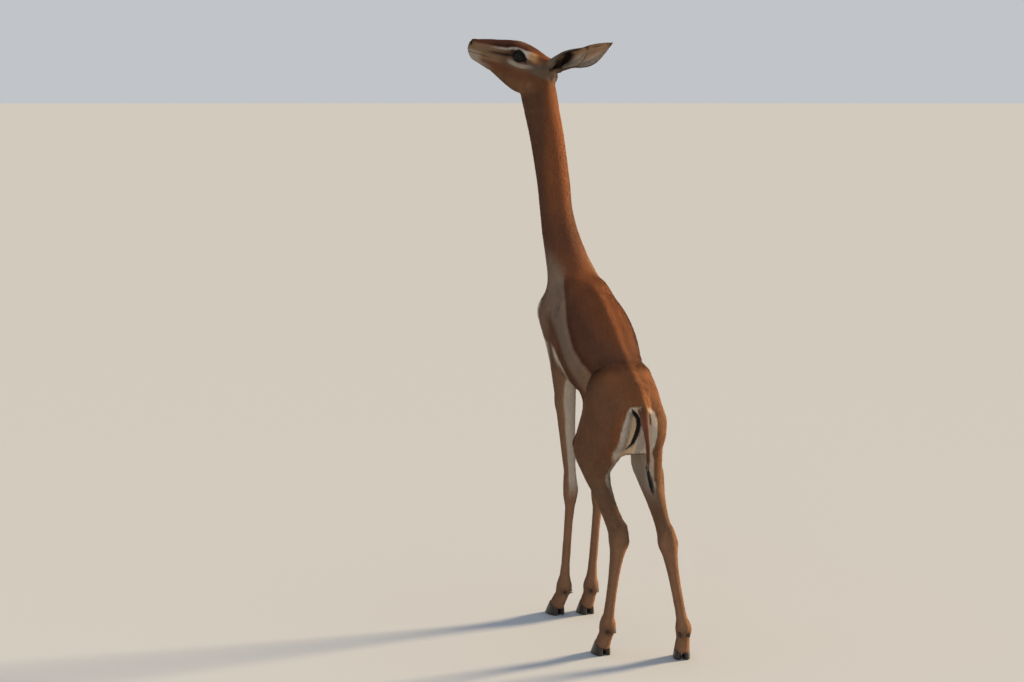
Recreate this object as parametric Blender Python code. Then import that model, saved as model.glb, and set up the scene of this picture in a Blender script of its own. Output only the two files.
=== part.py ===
"""A female gerenuk, life size, standing on all fours with the neck raised to browse on its left.

Metres. +X is forward along the trunk, +Y the animal's left, +Z up. The floor is z = 0.
The flesh is a field of rods, balls and sweeps that melt into each other. Its surface is cut by
thin slabs into nodes, and the eyes, ears, hooves, dewclaws and tail are meshes of their own.
"""

import math

import bmesh
import bpy
import numpy as np
from mathutils import Matrix, Vector

OBJECT_NAME = "gerenuk"

# ---- driving sizes
GAP = 0.0003                 # between nodes that touch
BODY_STEP = 0.0045           # sampling of the body's field
HEAD_STEP = 0.0017           # sampling of the head's field
BODY_TRIANGLES = 6300
HEAD_TRIANGLES = 3900
FAR = 0.08                   # field value away from everything

TRUNK_PITCH = math.radians(20.5)
HIP_HEIGHT = 0.612
PELVIS_SHIFT = 0.014         # the croup swings to the left

HEAD_HEADING = math.radians(52)   # to the left of the trunk
HEAD_PITCH = math.radians(20)     # nose up
HEAD_CENTRE = (0.555, 0.0925, 1.375)
HEAD_CUT = 1.272             # height of the cut between neck and head

EYE_RADIUS = 0.0175
EYE_PLACE = (0.0215, 0.0255, 0.0150)     # forward, outwards, up from the head's centre
EYE_OPENING = (0.0158, 0.0112)           # half length and half height between the lids
EYE_OPENING_DEPTH = 0.0080               # where the opening ends, in front of the eye's middle
LID_THICKNESS = 0.0030
LID_SLOPE = 0.26             # rise of the lids' line forwards, against the head's axis

EAR_LENGTH = 0.150
EAR_THICKNESS = 0.0034
EAR_BASE = (-0.056, 0.029, 0.018)
EAR_STUMP = 0.0160
EAR_BEND = 0.004             # the tip curves back from the opening
EAR_SPREAD = {1: math.radians(26.0), -1: math.radians(23.7)}   # left and right, from straight back
EAR_RISE = {1: math.radians(16.5), -1: math.radians(22.5)}
# share of the length, radius of the cup, half its angle in degrees
EAR_SHAPE = ((0.00, 0.0160, 172), (0.20, 0.0180, 152), (0.36, 0.0230, 114), (0.50, 0.0280, 92),
             (0.60, 0.0285, 82), (0.70, 0.0250, 76), (0.80, 0.0185, 70), (0.90, 0.0105, 66),
             (1.00, 0.0012, 60))

HOOF_LENGTH = 0.054
CORONET_FRONT = (-0.021, 0.035)   # behind the toe, above the floor
CORONET_SLOPE = math.radians(27)

TAIL_RADII = (0.0120, 0.0094, 0.0056, 0.0044, 0.0042)   # at the points of its route
TAIL_ROUTE = ((-0.124, 0.0210, 0.613), (-0.138, 0.0225, 0.588), (-0.146, 0.0190, 0.552),
              (-0.147, 0.0160, 0.514), (-0.145, 0.0155, 0.478))
TUFT_TIP = (-0.144, 0.002, 0.424)
TUFT_LOCKS = 12

# ---- joints of the legs: shoulder or hip first, then down to the tip of the toe
LEGS = {
    "fore_left": ((0.500, 0.057, 0.766), (0.460, 0.030, 0.592), (0.440, 0.018, 0.322),
                  (0.434, 0.037, 0.080), (0.497, 0.062, 0.0)),
    "fore_right": ((0.500, -0.060, 0.766), (0.458, -0.054, 0.592), (0.430, -0.052, 0.318),
                   (0.428, -0.032, 0.080), (0.486, -0.018, 0.0)),
    "hind_left": ((0.000, 0.062, 0.612), (0.150, 0.067, 0.480), (-0.030, 0.045, 0.298),
                  (0.056, 0.043, 0.077), (0.115, 0.058, 0.0)),
    "hind_right": ((0.000, -0.032, 0.612), (0.124, -0.067, 0.452), (-0.095, -0.050, 0.300),
                   (-0.024, -0.116, 0.079), (0.034, -0.128, 0.0)),
}

X_AXIS = np.array((1.0, 0.0, 0.0))
Y_AXIS = np.array((0.0, 1.0, 0.0))
Z_AXIS = np.array((0.0, 0.0, 1.0))


def unit(vector):
    return np.asarray(vector, float) / np.linalg.norm(vector)


def square_to(vector, axis):
    """The part of a vector that is square to an axis, at length 1."""
    return unit(vector - (vector @ axis) * axis)


# ---- frames
TRUNK_ALONG = np.array((math.cos(TRUNK_PITCH), 0.0, math.sin(TRUNK_PITCH)))
TRUNK_UP = np.array((-math.sin(TRUNK_PITCH), 0.0, math.cos(TRUNK_PITCH)))
HIP = np.array((0.0, 0.0, HIP_HEIGHT))
HEAD_FLAT = np.array((math.cos(HEAD_HEADING), math.sin(HEAD_HEADING), 0.0))
HEAD_ALONG = math.cos(HEAD_PITCH) * HEAD_FLAT + math.sin(HEAD_PITCH) * Z_AXIS
HEAD_LEFT = np.cross(Z_AXIS, HEAD_FLAT)
HEAD_UP = np.cross(HEAD_ALONG, HEAD_LEFT)


def on_trunk(along, up, left=0.0):
    return HIP + TRUNK_ALONG * along + TRUNK_UP * up + Y_AXIS * left


def on_head(along, left, up):
    return np.array(HEAD_CENTRE) + HEAD_ALONG * along + HEAD_LEFT * left + HEAD_UP * up


# ---- the field: lumps that melt into each other
def melt(first, second, reach):
    """The smaller of two distances, rounded off where they come within reach of each other."""
    share = np.clip(0.5 + 0.5 * (first - second) / reach, 0.0, 1.0)
    return first + (second - first) * share - reach * share * (1 - share)


def through(xs, ys, x):
    """A smooth curve through the points (xs, ys), read at x."""
    slopes = np.gradient(ys, xs)
    cell = np.clip(np.searchsorted(xs, x) - 1, 0, len(xs) - 2)
    width = xs[cell + 1] - xs[cell]
    t = np.clip((x - xs[cell]) / width, 0.0, 1.0)
    rise = ys[cell + 1] - ys[cell]
    bend = (1 - t) * (slopes[cell] * width - rise) - t * (slopes[cell + 1] * width - rise)
    return ys[cell] + t * rise + t * (1 - t) * bend


class Field:
    """A list of lumps, each with its distance function, its box and how far it melts."""

    def __init__(self):
        self.lumps = []

    def add(self, lump, reach, carve=False):
        self.lumps.append((*lump, reach, carve))

    def sample(self, low, high, step):
        """Distances on a grid, closed off at the grid's border."""
        low = np.asarray(low, float)
        counts = np.ceil((np.asarray(high) - low) / step).astype(int) + 1
        ticks = [low[i] + step * np.arange(counts[i]) for i in range(3)]
        values = np.full(counts, FAR)
        for distance, box_low, box_high, reach, carve in self.lumps:
            margin = reach + 2 * step
            first = np.clip(np.floor((box_low - margin - low) / step).astype(int), 0, counts)
            last = np.clip(np.ceil((box_high + margin - low) / step).astype(int) + 1, 0, counts)
            if np.any(last <= first):
                continue
            window = tuple(slice(a, b) for a, b in zip(first, last))
            grid = np.meshgrid(*(t[w] for t, w in zip(ticks, window)), indexing="ij")
            lump = distance(np.stack(grid, axis=-1))
            if carve:
                values[window] = -melt(-values[window], lump, reach)
            else:
                values[window] = melt(values[window], lump, reach)
        for axis in range(3):
            border = np.moveaxis(values, axis, 0)
            border[0] = FAR
            border[-1] = FAR
        return low, values


def rod(start, end, start_radius, end_radius, side=Y_AXIS, squeeze=1.0):
    """A rod with round ends. squeeze scales its width along side."""
    start = np.asarray(start, float)
    end = np.asarray(end, float)

    def scaled(offset):
        return offset + (offset @ side)[..., None] * side * (1 / squeeze - 1)

    line = scaled((end - start)[None])[0]

    def distance(points):
        offset = scaled(points - start)
        share = np.clip(offset @ line / (line @ line), 0.0, 1.0)
        radius = start_radius + (end_radius - start_radius) * share
        return (np.linalg.norm(offset - share[..., None] * line, axis=-1) - radius) * squeeze

    widest = max(start_radius, end_radius)
    return distance, np.minimum(start, end) - widest, np.maximum(start, end) + widest


def ball(centre, radii, axes):
    """An ellipsoid with its radii along the given axes."""
    centre = np.asarray(centre, float)
    turned = np.array(axes).T
    radii = np.asarray(radii, float)

    def distance(points):
        local = (points - centre) @ turned / radii
        length = np.linalg.norm(local, axis=-1)
        steepness = np.linalg.norm(local / radii, axis=-1)
        return length * (length - 1) / np.maximum(steepness, 1e-6)

    return distance, centre - max(radii), centre + max(radii)


def sweep(origin, along, side, front, stations):
    """A body along a straight axis, through oval stations.

    A station is (distance along, shift to the side, shift to the front, half width, depth in
    front of the middle) and then the depth behind it, where that differs.
    """
    table = np.array([s if len(s) == 6 else (*s, s[4]) for s in stations]).T
    spots = [origin + along * s[0] + side * s[1] + front * s[2] for s in stations]
    widest = table[3:].max()

    def distance(points):
        offset = points - origin
        far_along = offset @ along
        shift_side, shift_front, half_width, ahead, behind = (
            through(table[0], row, far_along) for row in table[1:])
        level = offset @ front - shift_front
        half_depth = np.where(level > 0, ahead, behind)
        across = np.hypot((offset @ side - shift_side) / half_width, level / half_depth)
        gap = (across - 1) * np.minimum(half_width, half_depth)
        beyond = np.maximum(table[0][0] - far_along, far_along - table[0][-1])
        return np.where(beyond > 0, np.hypot(np.maximum(gap, 0), beyond), gap)

    return distance, np.min(spots, axis=0) - widest, np.max(spots, axis=0) + widest


def fill_crossings(values, filler):
    """Fills one sample of each square whose diagonals differ, where a net would touch itself."""
    found = True
    while found:
        found = False
        for axis in range(3):
            layer = np.moveaxis(values, axis, 2)
            near, far = layer[:-1, :-1], layer[1:, 1:]
            right, left = layer[1:, :-1], layer[:-1, 1:]
            same = ((near < 0) == (far < 0)) & ((right < 0) == (left < 0))
            crossed = same & ((near < 0) != (right < 0))
            if crossed.any():
                found = True
                near[crossed & (near >= 0)] = filler
                right[crossed & (right >= 0)] = filler
        corners = cell_corners(values)
        count = sum((c < 0).astype(int) for c in corners)
        for number in range(4):
            first, second = corners[number], corners[7 - number]
            alone = (first < 0) == (second < 0)
            alone &= count == np.where(first < 0, 2, 6)
            if alone.any():
                found = True
                first[alone & (first >= 0)] = filler
                corners[number ^ 1][alone & (first < 0)] = filler


def cell_corners(values):
    """Eight views of a grid, one for each corner of its cells."""
    count = np.array(values.shape) - 1
    return [values[i:count[0] + i, j:count[1] + j, k:count[2] + k]
            for i in (0, 1) for j in (0, 1) for k in (0, 1)]


def surface(low, values, step):
    """Surface nets: one vertex in each cell that the surface crosses, one quad on each edge."""
    fill_crossings(values, -0.05 * step)
    inside = values < 0
    filled = sum(c.astype(np.int8) for c in cell_corners(inside))
    crossed = (filled > 0) & (filled < 8)
    cells = np.argwhere(crossed)
    numbers = np.full(crossed.shape, -1)
    numbers[crossed] = np.arange(len(cells))
    total = np.zeros((len(cells), 3))
    hits = np.zeros(len(cells))
    for axis in range(3):
        others = [a for a in range(3) if a != axis]
        for u in (0, 1):
            for v in (0, 1):
                first = cells.copy()
                first[:, others[0]] += u
                first[:, others[1]] += v
                second = first.copy()
                second[:, axis] += 1
                start = values[tuple(first.T)]
                end = values[tuple(second.T)]
                cross = (start < 0) != (end < 0)
                spot = first.astype(float)
                spot[:, axis] += np.where(cross, start / np.where(cross, start - end, 1), 0)
                total[cross] += spot[cross]
                hits[cross] += 1
    vertices = low + step * total / hits[:, None]
    quads = []
    for axis in range(3):
        a, b = (axis + 1) % 3, (axis + 2) % 3
        turned = np.moveaxis(inside, axis, 0)
        edges = np.argwhere(np.moveaxis(turned[:-1] != turned[1:], 0, axis))
        edges = edges[(edges[:, a] > 0) & (edges[:, b] > 0)]
        ring = []
        for step_a, step_b in ((0, 0), (-1, 0), (-1, -1), (0, -1)):
            cell = edges.copy()
            cell[:, a] += step_a
            cell[:, b] += step_b
            ring.append(numbers[tuple(cell.T)])
        ring = np.stack(ring, axis=1)
        outward = inside[tuple(edges.T)]
        ring[~outward] = ring[~outward][:, ::-1]
        quads.append(ring)
    return vertices, np.concatenate(quads)


# ---- flesh of the body
def add_trunk(field):
    # along, share of the pelvis's shift, top, widest level, bottom, half width
    stations = ((-0.125, 1.0, 0.016, -0.020, -0.055, 0.028),
                (-0.100, 1.0, 0.044, -0.030, -0.084, 0.042),
                (-0.060, 1.0, 0.068, -0.036, -0.098, 0.055),
                (0.000, 1.0, 0.081, -0.038, -0.098, 0.062),
                (0.060, 0.9, 0.089, -0.034, -0.090, 0.064),
                (0.120, 0.75, 0.098, -0.026, -0.086, 0.068),
                (0.180, 0.5, 0.105, -0.022, -0.097, 0.079),
                (0.240, 0.3, 0.107, -0.024, -0.112, 0.084),
                (0.300, 0.1, 0.109, -0.026, -0.126, 0.085),
                (0.360, 0.0, 0.109, -0.028, -0.137, 0.083),
                (0.420, 0.0, 0.104, -0.028, -0.142, 0.078),
                (0.480, 0.0, 0.094, -0.026, -0.135, 0.070),
                (0.530, 0.0, 0.080, -0.018, -0.114, 0.060),
                (0.570, 0.0, 0.060, -0.010, -0.084, 0.048),
                (0.600, 0.0, 0.030, -0.008, -0.052, 0.030))
    rows = [(a, PELVIS_SHIFT * share, level, width, top - level, level - bottom)
            for a, share, top, level, bottom, width in stations]
    field.add(sweep(HIP, TRUNK_ALONG, Y_AXIS, TRUNK_UP, rows), 0.010)
    tail_root = on_trunk(-0.055, 0.052, PELVIS_SHIFT)
    field.add(rod(tail_root, np.array(TAIL_ROUTE[0]), 0.018, TAIL_RADII[0] * 1.05), 0.014)
    for side in (-1, 1):
        hook = on_trunk(0.078, 0.050, PELVIS_SHIFT + side * 0.034)
        field.add(rod(hook, hook - TRUNK_ALONG * 0.045, 0.012, 0.015), 0.022)
        rib = on_trunk(0.30, -0.020, side * 0.036)
        field.add(ball(rib, (0.14, 0.050, 0.095), (TRUNK_ALONG, Y_AXIS, TRUNK_UP)), 0.02)
        sit = on_trunk(-0.092, -0.006, PELVIS_SHIFT + side * 0.030)
        field.add(rod(sit, sit - TRUNK_UP * 0.035, 0.023, 0.026), 0.018)


def add_neck(field):
    # height, sideways, forward, half width, half depth
    stations = ((0.760, 0.000, 0.455, 0.056, 0.080),
                (0.820, 0.001, 0.468, 0.060, 0.083),
                (0.865, 0.006, 0.482, 0.060, 0.075),
                (0.910, 0.016, 0.494, 0.053, 0.062),
                (0.960, 0.028, 0.504, 0.0465, 0.052),
                (1.020, 0.037, 0.513, 0.0415, 0.046),
                (1.085, 0.0420, 0.520, 0.0416, 0.0455),
                (1.150, 0.0490, 0.529, 0.0426, 0.0450),
                (1.220, 0.0585, 0.537, 0.0440, 0.0460),
                (1.275, 0.0690, 0.541, 0.0448, 0.0480),
                (1.325, 0.0770, 0.541, 0.0430, 0.0490),
                (1.360, 0.0780, 0.540, 0.0345, 0.0410))
    field.add(sweep(np.zeros(3), Z_AXIS, Y_AXIS, X_AXIS, stations), 0.030)


def add_foreleg(field, joints, side):
    shoulder, elbow, knee, fetlock, toe = (np.array(j) for j in joints)
    blade = on_trunk(0.430, 0.062, side * 0.034)
    field.add(rod(blade, shoulder, 0.028, 0.036, Y_AXIS, 0.60), 0.030)
    field.add(rod(blade - TRUNK_ALONG * 0.035 - TRUNK_UP * 0.05 + Y_AXIS * side * 0.018,
                  elbow + (-0.006, 0, 0.030), 0.042, 0.029, Y_AXIS, 0.60), 0.026)
    field.add(rod(shoulder, elbow, 0.034, 0.028, Y_AXIS, 0.85), 0.020)
    field.add(rod(elbow + (-0.024, 0, 0.012), elbow + (0, 0, -0.05), 0.015, 0.022), 0.014)

    def level(share, width, depth, forward=0.0, start=elbow, end=knee):
        spot = start + (end - start) * share
        return (spot[2], spot[1], spot[0] + forward, width, depth)

    rows = [level(-0.16, 0.0275, 0.036), level(0.0, 0.0275, 0.035), level(0.2, 0.0250, 0.031, 0.002),
            level(0.42, 0.0212, 0.026, 0.003), level(0.65, 0.0178, 0.0215, 0.002),
            level(0.84, 0.0158, 0.0188), level(0.93, 0.0182, 0.0202, 0.002),
            level(1.0, 0.0194, 0.0214, 0.002)]
    rows += [level(t, w, d, f, knee, fetlock) for t, w, d, f in
             ((0.08, 0.0174, 0.0196, 0.001), (0.17, 0.0130, 0.0156, -0.001),
              (0.32, 0.0115, 0.0138, 0.0), (0.60, 0.0112, 0.0136, 0.0),
              (0.84, 0.0122, 0.0148, 0.0), (0.96, 0.0155, 0.0178, 0.0),
              (1.04, 0.0150, 0.0172, 0.0))]
    field.add(sweep(np.zeros(3), Z_AXIS, Y_AXIS, X_AXIS, rows[::-1]), 0.012)
    add_foot(field, fetlock, toe)


def add_hindleg(field, joints, side):
    hip, stifle, hock, fetlock, toe = (np.array(j) for j in joints)
    sit = on_trunk(-0.086, -0.012, hip[1] - side * 0.016)
    calf = stifle + (hock - stifle) * 0.34
    shin = unit(hock - stifle)
    shin_front = square_to(X_AXIS - Z_AXIS, shin)
    shin_side = np.cross(shin_front, shin)
    behind = -shin_front
    # rump, then the back, the middle and the front of the thigh
    field.add(ball(on_trunk(-0.015, -0.020, hip[1] - side * 0.012), (0.096, 0.030, 0.066),
                   (TRUNK_ALONG, Y_AXIS, TRUNK_UP)), 0.022)
    field.add(rod(sit, calf + behind * 0.012, 0.038, 0.021, Y_AXIS, 0.74), 0.022)
    field.add(rod(hip + (0.02, -side * 0.005, -0.03), stifle + (-0.045, 0, -0.012),
                  0.064, 0.040, Y_AXIS, 0.54), 0.024)
    field.add(rod(on_trunk(0.050, -0.013, hip[1] - side * 0.002), stifle + (0.004, 0, 0.004),
                  0.048, 0.033, Y_AXIS, 0.68), 0.024)
    field.add(rod(stifle + (0.010, 0, 0.045), on_trunk(0.165, -0.058, hip[1] - side * 0.012),
                  0.016, 0.022, Y_AXIS, 0.60), 0.030)
    rows = [(-0.030, 0, 0.004, 0.0230, 0.026), (0.000, 0, 0.004, 0.0280, 0.036),
            (0.040, 0, -0.004, 0.0285, 0.041), (0.090, 0, -0.006, 0.0255, 0.036),
            (0.140, 0, -0.002, 0.0205, 0.0265), (0.190, 0, 0.000, 0.0172, 0.0215),
            (0.225, 0, 0.000, 0.0172, 0.0215), (0.250, 0, 0.000, 0.0190, 0.0230),
            (0.275, 0, 0.0, 0.0182, 0.0200)]
    field.add(sweep(stifle, shin, shin_side, shin_front, rows), 0.016)
    point = hock + unit(hock - fetlock) * 0.026 + behind * 0.012 - X_AXIS * 0.008
    field.add(rod(stifle + shin * 0.115 + behind * 0.013, point, 0.0130, 0.0095), 0.014)
    field.add(rod(point, hock - X_AXIS * 0.006, 0.0105, 0.016), 0.012)
    cannon = unit(fetlock - hock)
    cannon_front = square_to(X_AXIS, cannon)
    cannon_side = np.cross(cannon_front, cannon)
    length = np.linalg.norm(fetlock - hock)
    rows = [(length * t, 0, f, w, d) for t, f, w, d in
            ((-0.12, -0.004, 0.0165, 0.019), (0.00, -0.003, 0.0200, 0.0240),
             (0.12, -0.002, 0.0182, 0.0215), (0.25, -0.001, 0.0150, 0.0182),
             (0.40, 0.000, 0.0130, 0.0162), (0.65, 0.000, 0.0122, 0.0152),
             (0.86, 0.000, 0.0130, 0.0158), (0.96, 0.000, 0.0158, 0.0184),
             (1.04, 0.000, 0.0152, 0.0176))]
    field.add(sweep(hock, cannon, cannon_side, cannon_front, rows), 0.012)
    add_foot(field, fetlock, toe)


def foot_axes(fetlock, toe):
    """Forward and left of a foot, both level."""
    forward = unit((toe - fetlock) * (1, 1, 0))
    return forward, np.cross(Z_AXIS, forward)


def add_foot(field, fetlock, toe):
    forward, left = foot_axes(fetlock, toe)
    coronet = toe + forward * (CORONET_FRONT[0] - 0.015) + Z_AXIS * (CORONET_FRONT[1] - 0.010)
    field.add(ball(fetlock, (0.0185, 0.0165, 0.019), (forward, left, Z_AXIS)), 0.010)
    field.add(rod(fetlock - Z_AXIS * 0.004, coronet, 0.0132, 0.0172), 0.012)
    field.add(rod(fetlock - forward * 0.010 - Z_AXIS * 0.006, coronet - forward * 0.008,
                  0.0110, 0.0140), 0.012)


def build_body():
    field = Field()
    add_trunk(field)
    add_neck(field)
    for name, joints in LEGS.items():
        side = 1 if name.endswith("left") else -1
        if name.startswith("fore"):
            add_foreleg(field, joints, side)
        else:
            add_hindleg(field, joints, side)
    low, values = field.sample((-0.17, -0.19, 0.004), (0.66, 0.17, HEAD_CUT + 0.03), BODY_STEP)
    return surface(low, values, BODY_STEP)


# ---- flesh of the head
def add_skull(field):
    # along, top, bottom, half width
    stations = ((-0.072, 0.008, -0.022, 0.016),
                (-0.060, 0.023, -0.043, 0.023),
                (-0.040, 0.034, -0.060, 0.033),
                (-0.010, 0.0435, -0.070, 0.0350),
                (0.020, 0.0490, -0.0715, 0.0360),
                (0.045, 0.0495, -0.0655, 0.0345),
                (0.075, 0.0430, -0.0550, 0.0290),
                (0.105, 0.0335, -0.0445, 0.0235),
                (0.132, 0.0262, -0.0370, 0.0200),
                (0.152, 0.0200, -0.0340, 0.0182),
                (0.166, 0.0115, -0.0290, 0.0150),
                (0.174, 0.0010, -0.0200, 0.0085))
    rows = [(a, 0, (top + bottom) / 2, w, (top - bottom) / 2) for a, top, bottom, w in stations]
    field.add(sweep(np.array(HEAD_CENTRE), HEAD_ALONG, HEAD_LEFT, HEAD_UP, rows), 0.004)
    field.add(rod(on_head(0.150, 0, -0.025), on_head(0.108, 0, -0.030), 0.0125, 0.0140), 0.006)


def add_face(field, side):
    axes = (HEAD_ALONG, HEAD_LEFT, HEAD_UP)

    def at(along, out, up):
        return on_head(along, side * out, up)

    field.add(rod(at(0.052, 0.0255, 0.0265), at(0.004, 0.0290, 0.0270), 0.0085, 0.0095), 0.022)
    field.add(rod(at(0.092, 0.0190, -0.010), at(0.040, 0.0300, -0.012), 0.0100, 0.0110), 0.012)
    field.add(rod(at(0.040, 0.0300, -0.012), at(-0.030, 0.0330, -0.006), 0.0110, 0.0100), 0.012)
    field.add(ball(at(0.010, 0.0235, -0.036), (0.040, 0.0150, 0.030), axes), 0.012)
    field.add(ball(at(0.157, 0.0085, 0.003), (0.0170, 0.0105, 0.0130), axes), 0.006)
    field.add(rod(at(0.162, 0.0075, -0.010), at(0.118, 0.0150, -0.011), 0.0100, 0.0095), 0.006)
    ear_root = at(*EAR_BASE)
    field.add(rod(at(-0.030, 0.022, 0.010), ear_root + ear_axis(side) * 0.006,
                  0.0200, EAR_STUMP), 0.014)
    # eyeball's bulge with its lids, then what is carved
    field.add(ball(at(*EYE_PLACE), (EYE_RADIUS + LID_THICKNESS,) * 3, axes), 0.007)
    field.add(ball(at(-0.024, 0.0450, 0.020), (0.018, 0.0085, 0.012), axes), 0.012, carve=True)
    field.add(ball(at(0.072, 0.0345, 0.008), (0.014, 0.0045, 0.0045), axes), 0.006, carve=True)
    field.add(ball(at(0.1675, 0.0120, 0.0065), (0.0070, 0.0042, 0.0030), axes), 0.002, carve=True)
    field.add(eye_opening(at(*EYE_PLACE), eye_gaze(side)), 0.0015, carve=True)


def eye_opening(eye, gaze):
    """The almond between the lids, open along the gaze: where two cylinders overlap."""
    half_length, half_height = EYE_OPENING
    bow = (half_length ** 2 + half_height ** 2) / (2 * half_height)
    lid_line = square_to(HEAD_ALONG + LID_SLOPE * HEAD_UP, gaze)
    upward = np.cross(gaze, lid_line)

    def distance(points):
        offset = points - eye
        length = offset @ lid_line
        height = np.abs(offset @ upward) + bow - half_height
        return np.maximum(np.hypot(length, height) - bow, EYE_OPENING_DEPTH - offset @ gaze)

    middle = eye + gaze * (EYE_OPENING_DEPTH + EYE_RADIUS)
    return distance, middle - EYE_RADIUS * 1.1, middle + EYE_RADIUS * 1.1


def eye_gaze(side):
    return unit(HEAD_LEFT * side + HEAD_ALONG * 0.26 + HEAD_UP * 0.10)


def ear_axis(side):
    spread, rise = EAR_SPREAD[side], EAR_RISE[side]
    flat = -math.cos(spread) * HEAD_FLAT + side * math.sin(spread) * HEAD_LEFT
    return math.cos(rise) * flat + math.sin(rise) * Z_AXIS


def build_head():
    field = Field()
    add_neck(field)
    add_skull(field)
    for side in (-1, 1):
        add_face(field, side)
    low, values = field.sample((0.475, -0.005, HEAD_CUT - 0.010), (0.672, 0.235, 1.445), HEAD_STEP)
    return surface(low, values, HEAD_STEP)


# ---- meshes in Blender
def new_object(name, vertices, faces, collection):
    mesh = bpy.data.meshes.new(name)
    mesh.from_pydata([tuple(v) for v in vertices], [], [tuple(f) for f in faces])
    mesh.update()
    shape = bpy.data.objects.new(name, mesh)
    collection.objects.link(shape)
    return shape


def edit_mesh(shape, work):
    """Runs work on a shape's mesh as a bmesh."""
    mesh = bmesh.new()
    mesh.from_mesh(shape.data)
    work(mesh)
    mesh.to_mesh(shape.data)
    mesh.free()
    shape.data.update()


def apply_modifier(shape, kind, **settings):
    modifier = shape.modifiers.new(kind.lower(), kind)
    for key, value in settings.items():
        setattr(modifier, key, value)
    depsgraph = bpy.context.evaluated_depsgraph_get()
    mesh = bpy.data.meshes.new_from_object(shape.evaluated_get(depsgraph))
    shape.modifiers.clear()
    shape.data = mesh


def simplify(shape, triangles):
    edit_mesh(shape, lambda m: bmesh.ops.triangulate(m, faces=m.faces[:]))
    for _ in range(2):
        edit_mesh(shape, lambda m: bmesh.ops.smooth_vert(
            m, verts=m.verts, factor=0.35, use_axis_x=True, use_axis_y=True, use_axis_z=True))
    apply_modifier(shape, "DECIMATE", ratio=triangles / len(shape.data.polygons))


def cut(shape, cutters):
    apply_modifier(shape, "BOOLEAN", operation="DIFFERENCE", operand_type="COLLECTION",
                   collection=cutters, solver="EXACT")


def loose_pieces(mesh):
    """The sets of connected faces of a bmesh."""
    left = set(mesh.faces)
    pieces = []
    while left:
        front = [left.pop()]
        piece = set(front)
        while front:
            face = front.pop()
            for edge in face.edges:
                for other in edge.link_faces:
                    if other in left:
                        left.discard(other)
                        piece.add(other)
                        front.append(other)
        pieces.append(piece)
    return pieces


def tidy(mesh):
    bmesh.ops.triangulate(mesh, faces=mesh.faces[:])
    bmesh.ops.dissolve_degenerate(mesh, dist=0.00002, edges=mesh.edges[:])
    bmesh.ops.triangulate(mesh, faces=mesh.faces[:])
    bmesh.ops.recalc_face_normals(mesh, faces=mesh.faces[:])


def split(shape, anchors, collection):
    """Splits a cut shape into its loose pieces, each named after the nearest anchor."""
    source = bmesh.new()
    source.from_mesh(shape.data)
    best = {}
    for piece in loose_pieces(source):
        vertices = {v for face in piece for v in face.verts}
        middle = sum((v.co for v in vertices), Vector()) / len(vertices)
        name = min(anchors, key=lambda n: (Vector(anchors[n]) - middle).length)
        if name not in best or len(piece) > len(best[name]):
            best[name] = piece
    made = []
    for name, piece in best.items():
        order = {}
        for face in piece:
            for vertex in face.verts:
                order.setdefault(vertex, len(order))
        faces = [[order[v] for v in face.verts] for face in piece]
        part = new_object(name, [tuple(v.co) for v in order], faces, collection)
        edit_mesh(part, tidy)
        made.append(part)
    source.free()
    bpy.data.objects.remove(shape)
    return made


def box_cutter(name, centre, axes, halves, collection):
    centre = np.asarray(centre, float)
    corners = [centre + sum(axes[i] * halves[i] * s[i] for i in range(3))
               for s in ((-1, -1, -1), (1, -1, -1), (1, 1, -1), (-1, 1, -1),
                         (-1, -1, 1), (1, -1, 1), (1, 1, 1), (-1, 1, 1))]
    faces = ((0, 3, 2, 1), (4, 5, 6, 7), (0, 1, 5, 4), (1, 2, 6, 5), (2, 3, 7, 6), (3, 0, 4, 7))
    cutter = new_object(name, corners, faces, collection)
    edit_mesh(cutter, lambda m: bmesh.ops.recalc_face_normals(m, faces=m.faces[:]))
    return hide_cutter(cutter)


def hide_cutter(cutter):
    cutter.hide_render = True
    cutter.display_type = "WIRE"
    return cutter


def slab(name, centre, normal, half_width, collection):
    """A slab as thin as the gap, which cuts a limb in two."""
    normal = unit(normal)
    first = square_to(Y_AXIS if abs(normal[1]) < 0.8 else X_AXIS, normal)
    axes = (first, np.cross(normal, first), normal)
    box_cutter(name, centre, axes, (half_width, half_width, GAP / 2), collection)


# ---- cuts of the body
FLAT_AXES = (X_AXIS, Y_AXIS, Z_AXIS)
FETLOCK_CUT = 0.104
FORE_CUTS = (0.556, 0.284)
HIND_CUTS = (0.478, 0.262)
LOIN_CUT = 0.205
NECK_CUT = (0.490, 0.014, 0.900)
NECK_CUT_NORMAL = (0.15, 0.25, 0.95)


def coronet_plane(toe, forward):
    """A point and the normal of the plane where a foot's flesh ends and its hooves begin."""
    point = toe + forward * CORONET_FRONT[0] + Z_AXIS * CORONET_FRONT[1]
    normal = Z_AXIS * math.cos(CORONET_SLOPE) - forward * math.sin(CORONET_SLOPE)
    return point, normal


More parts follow.
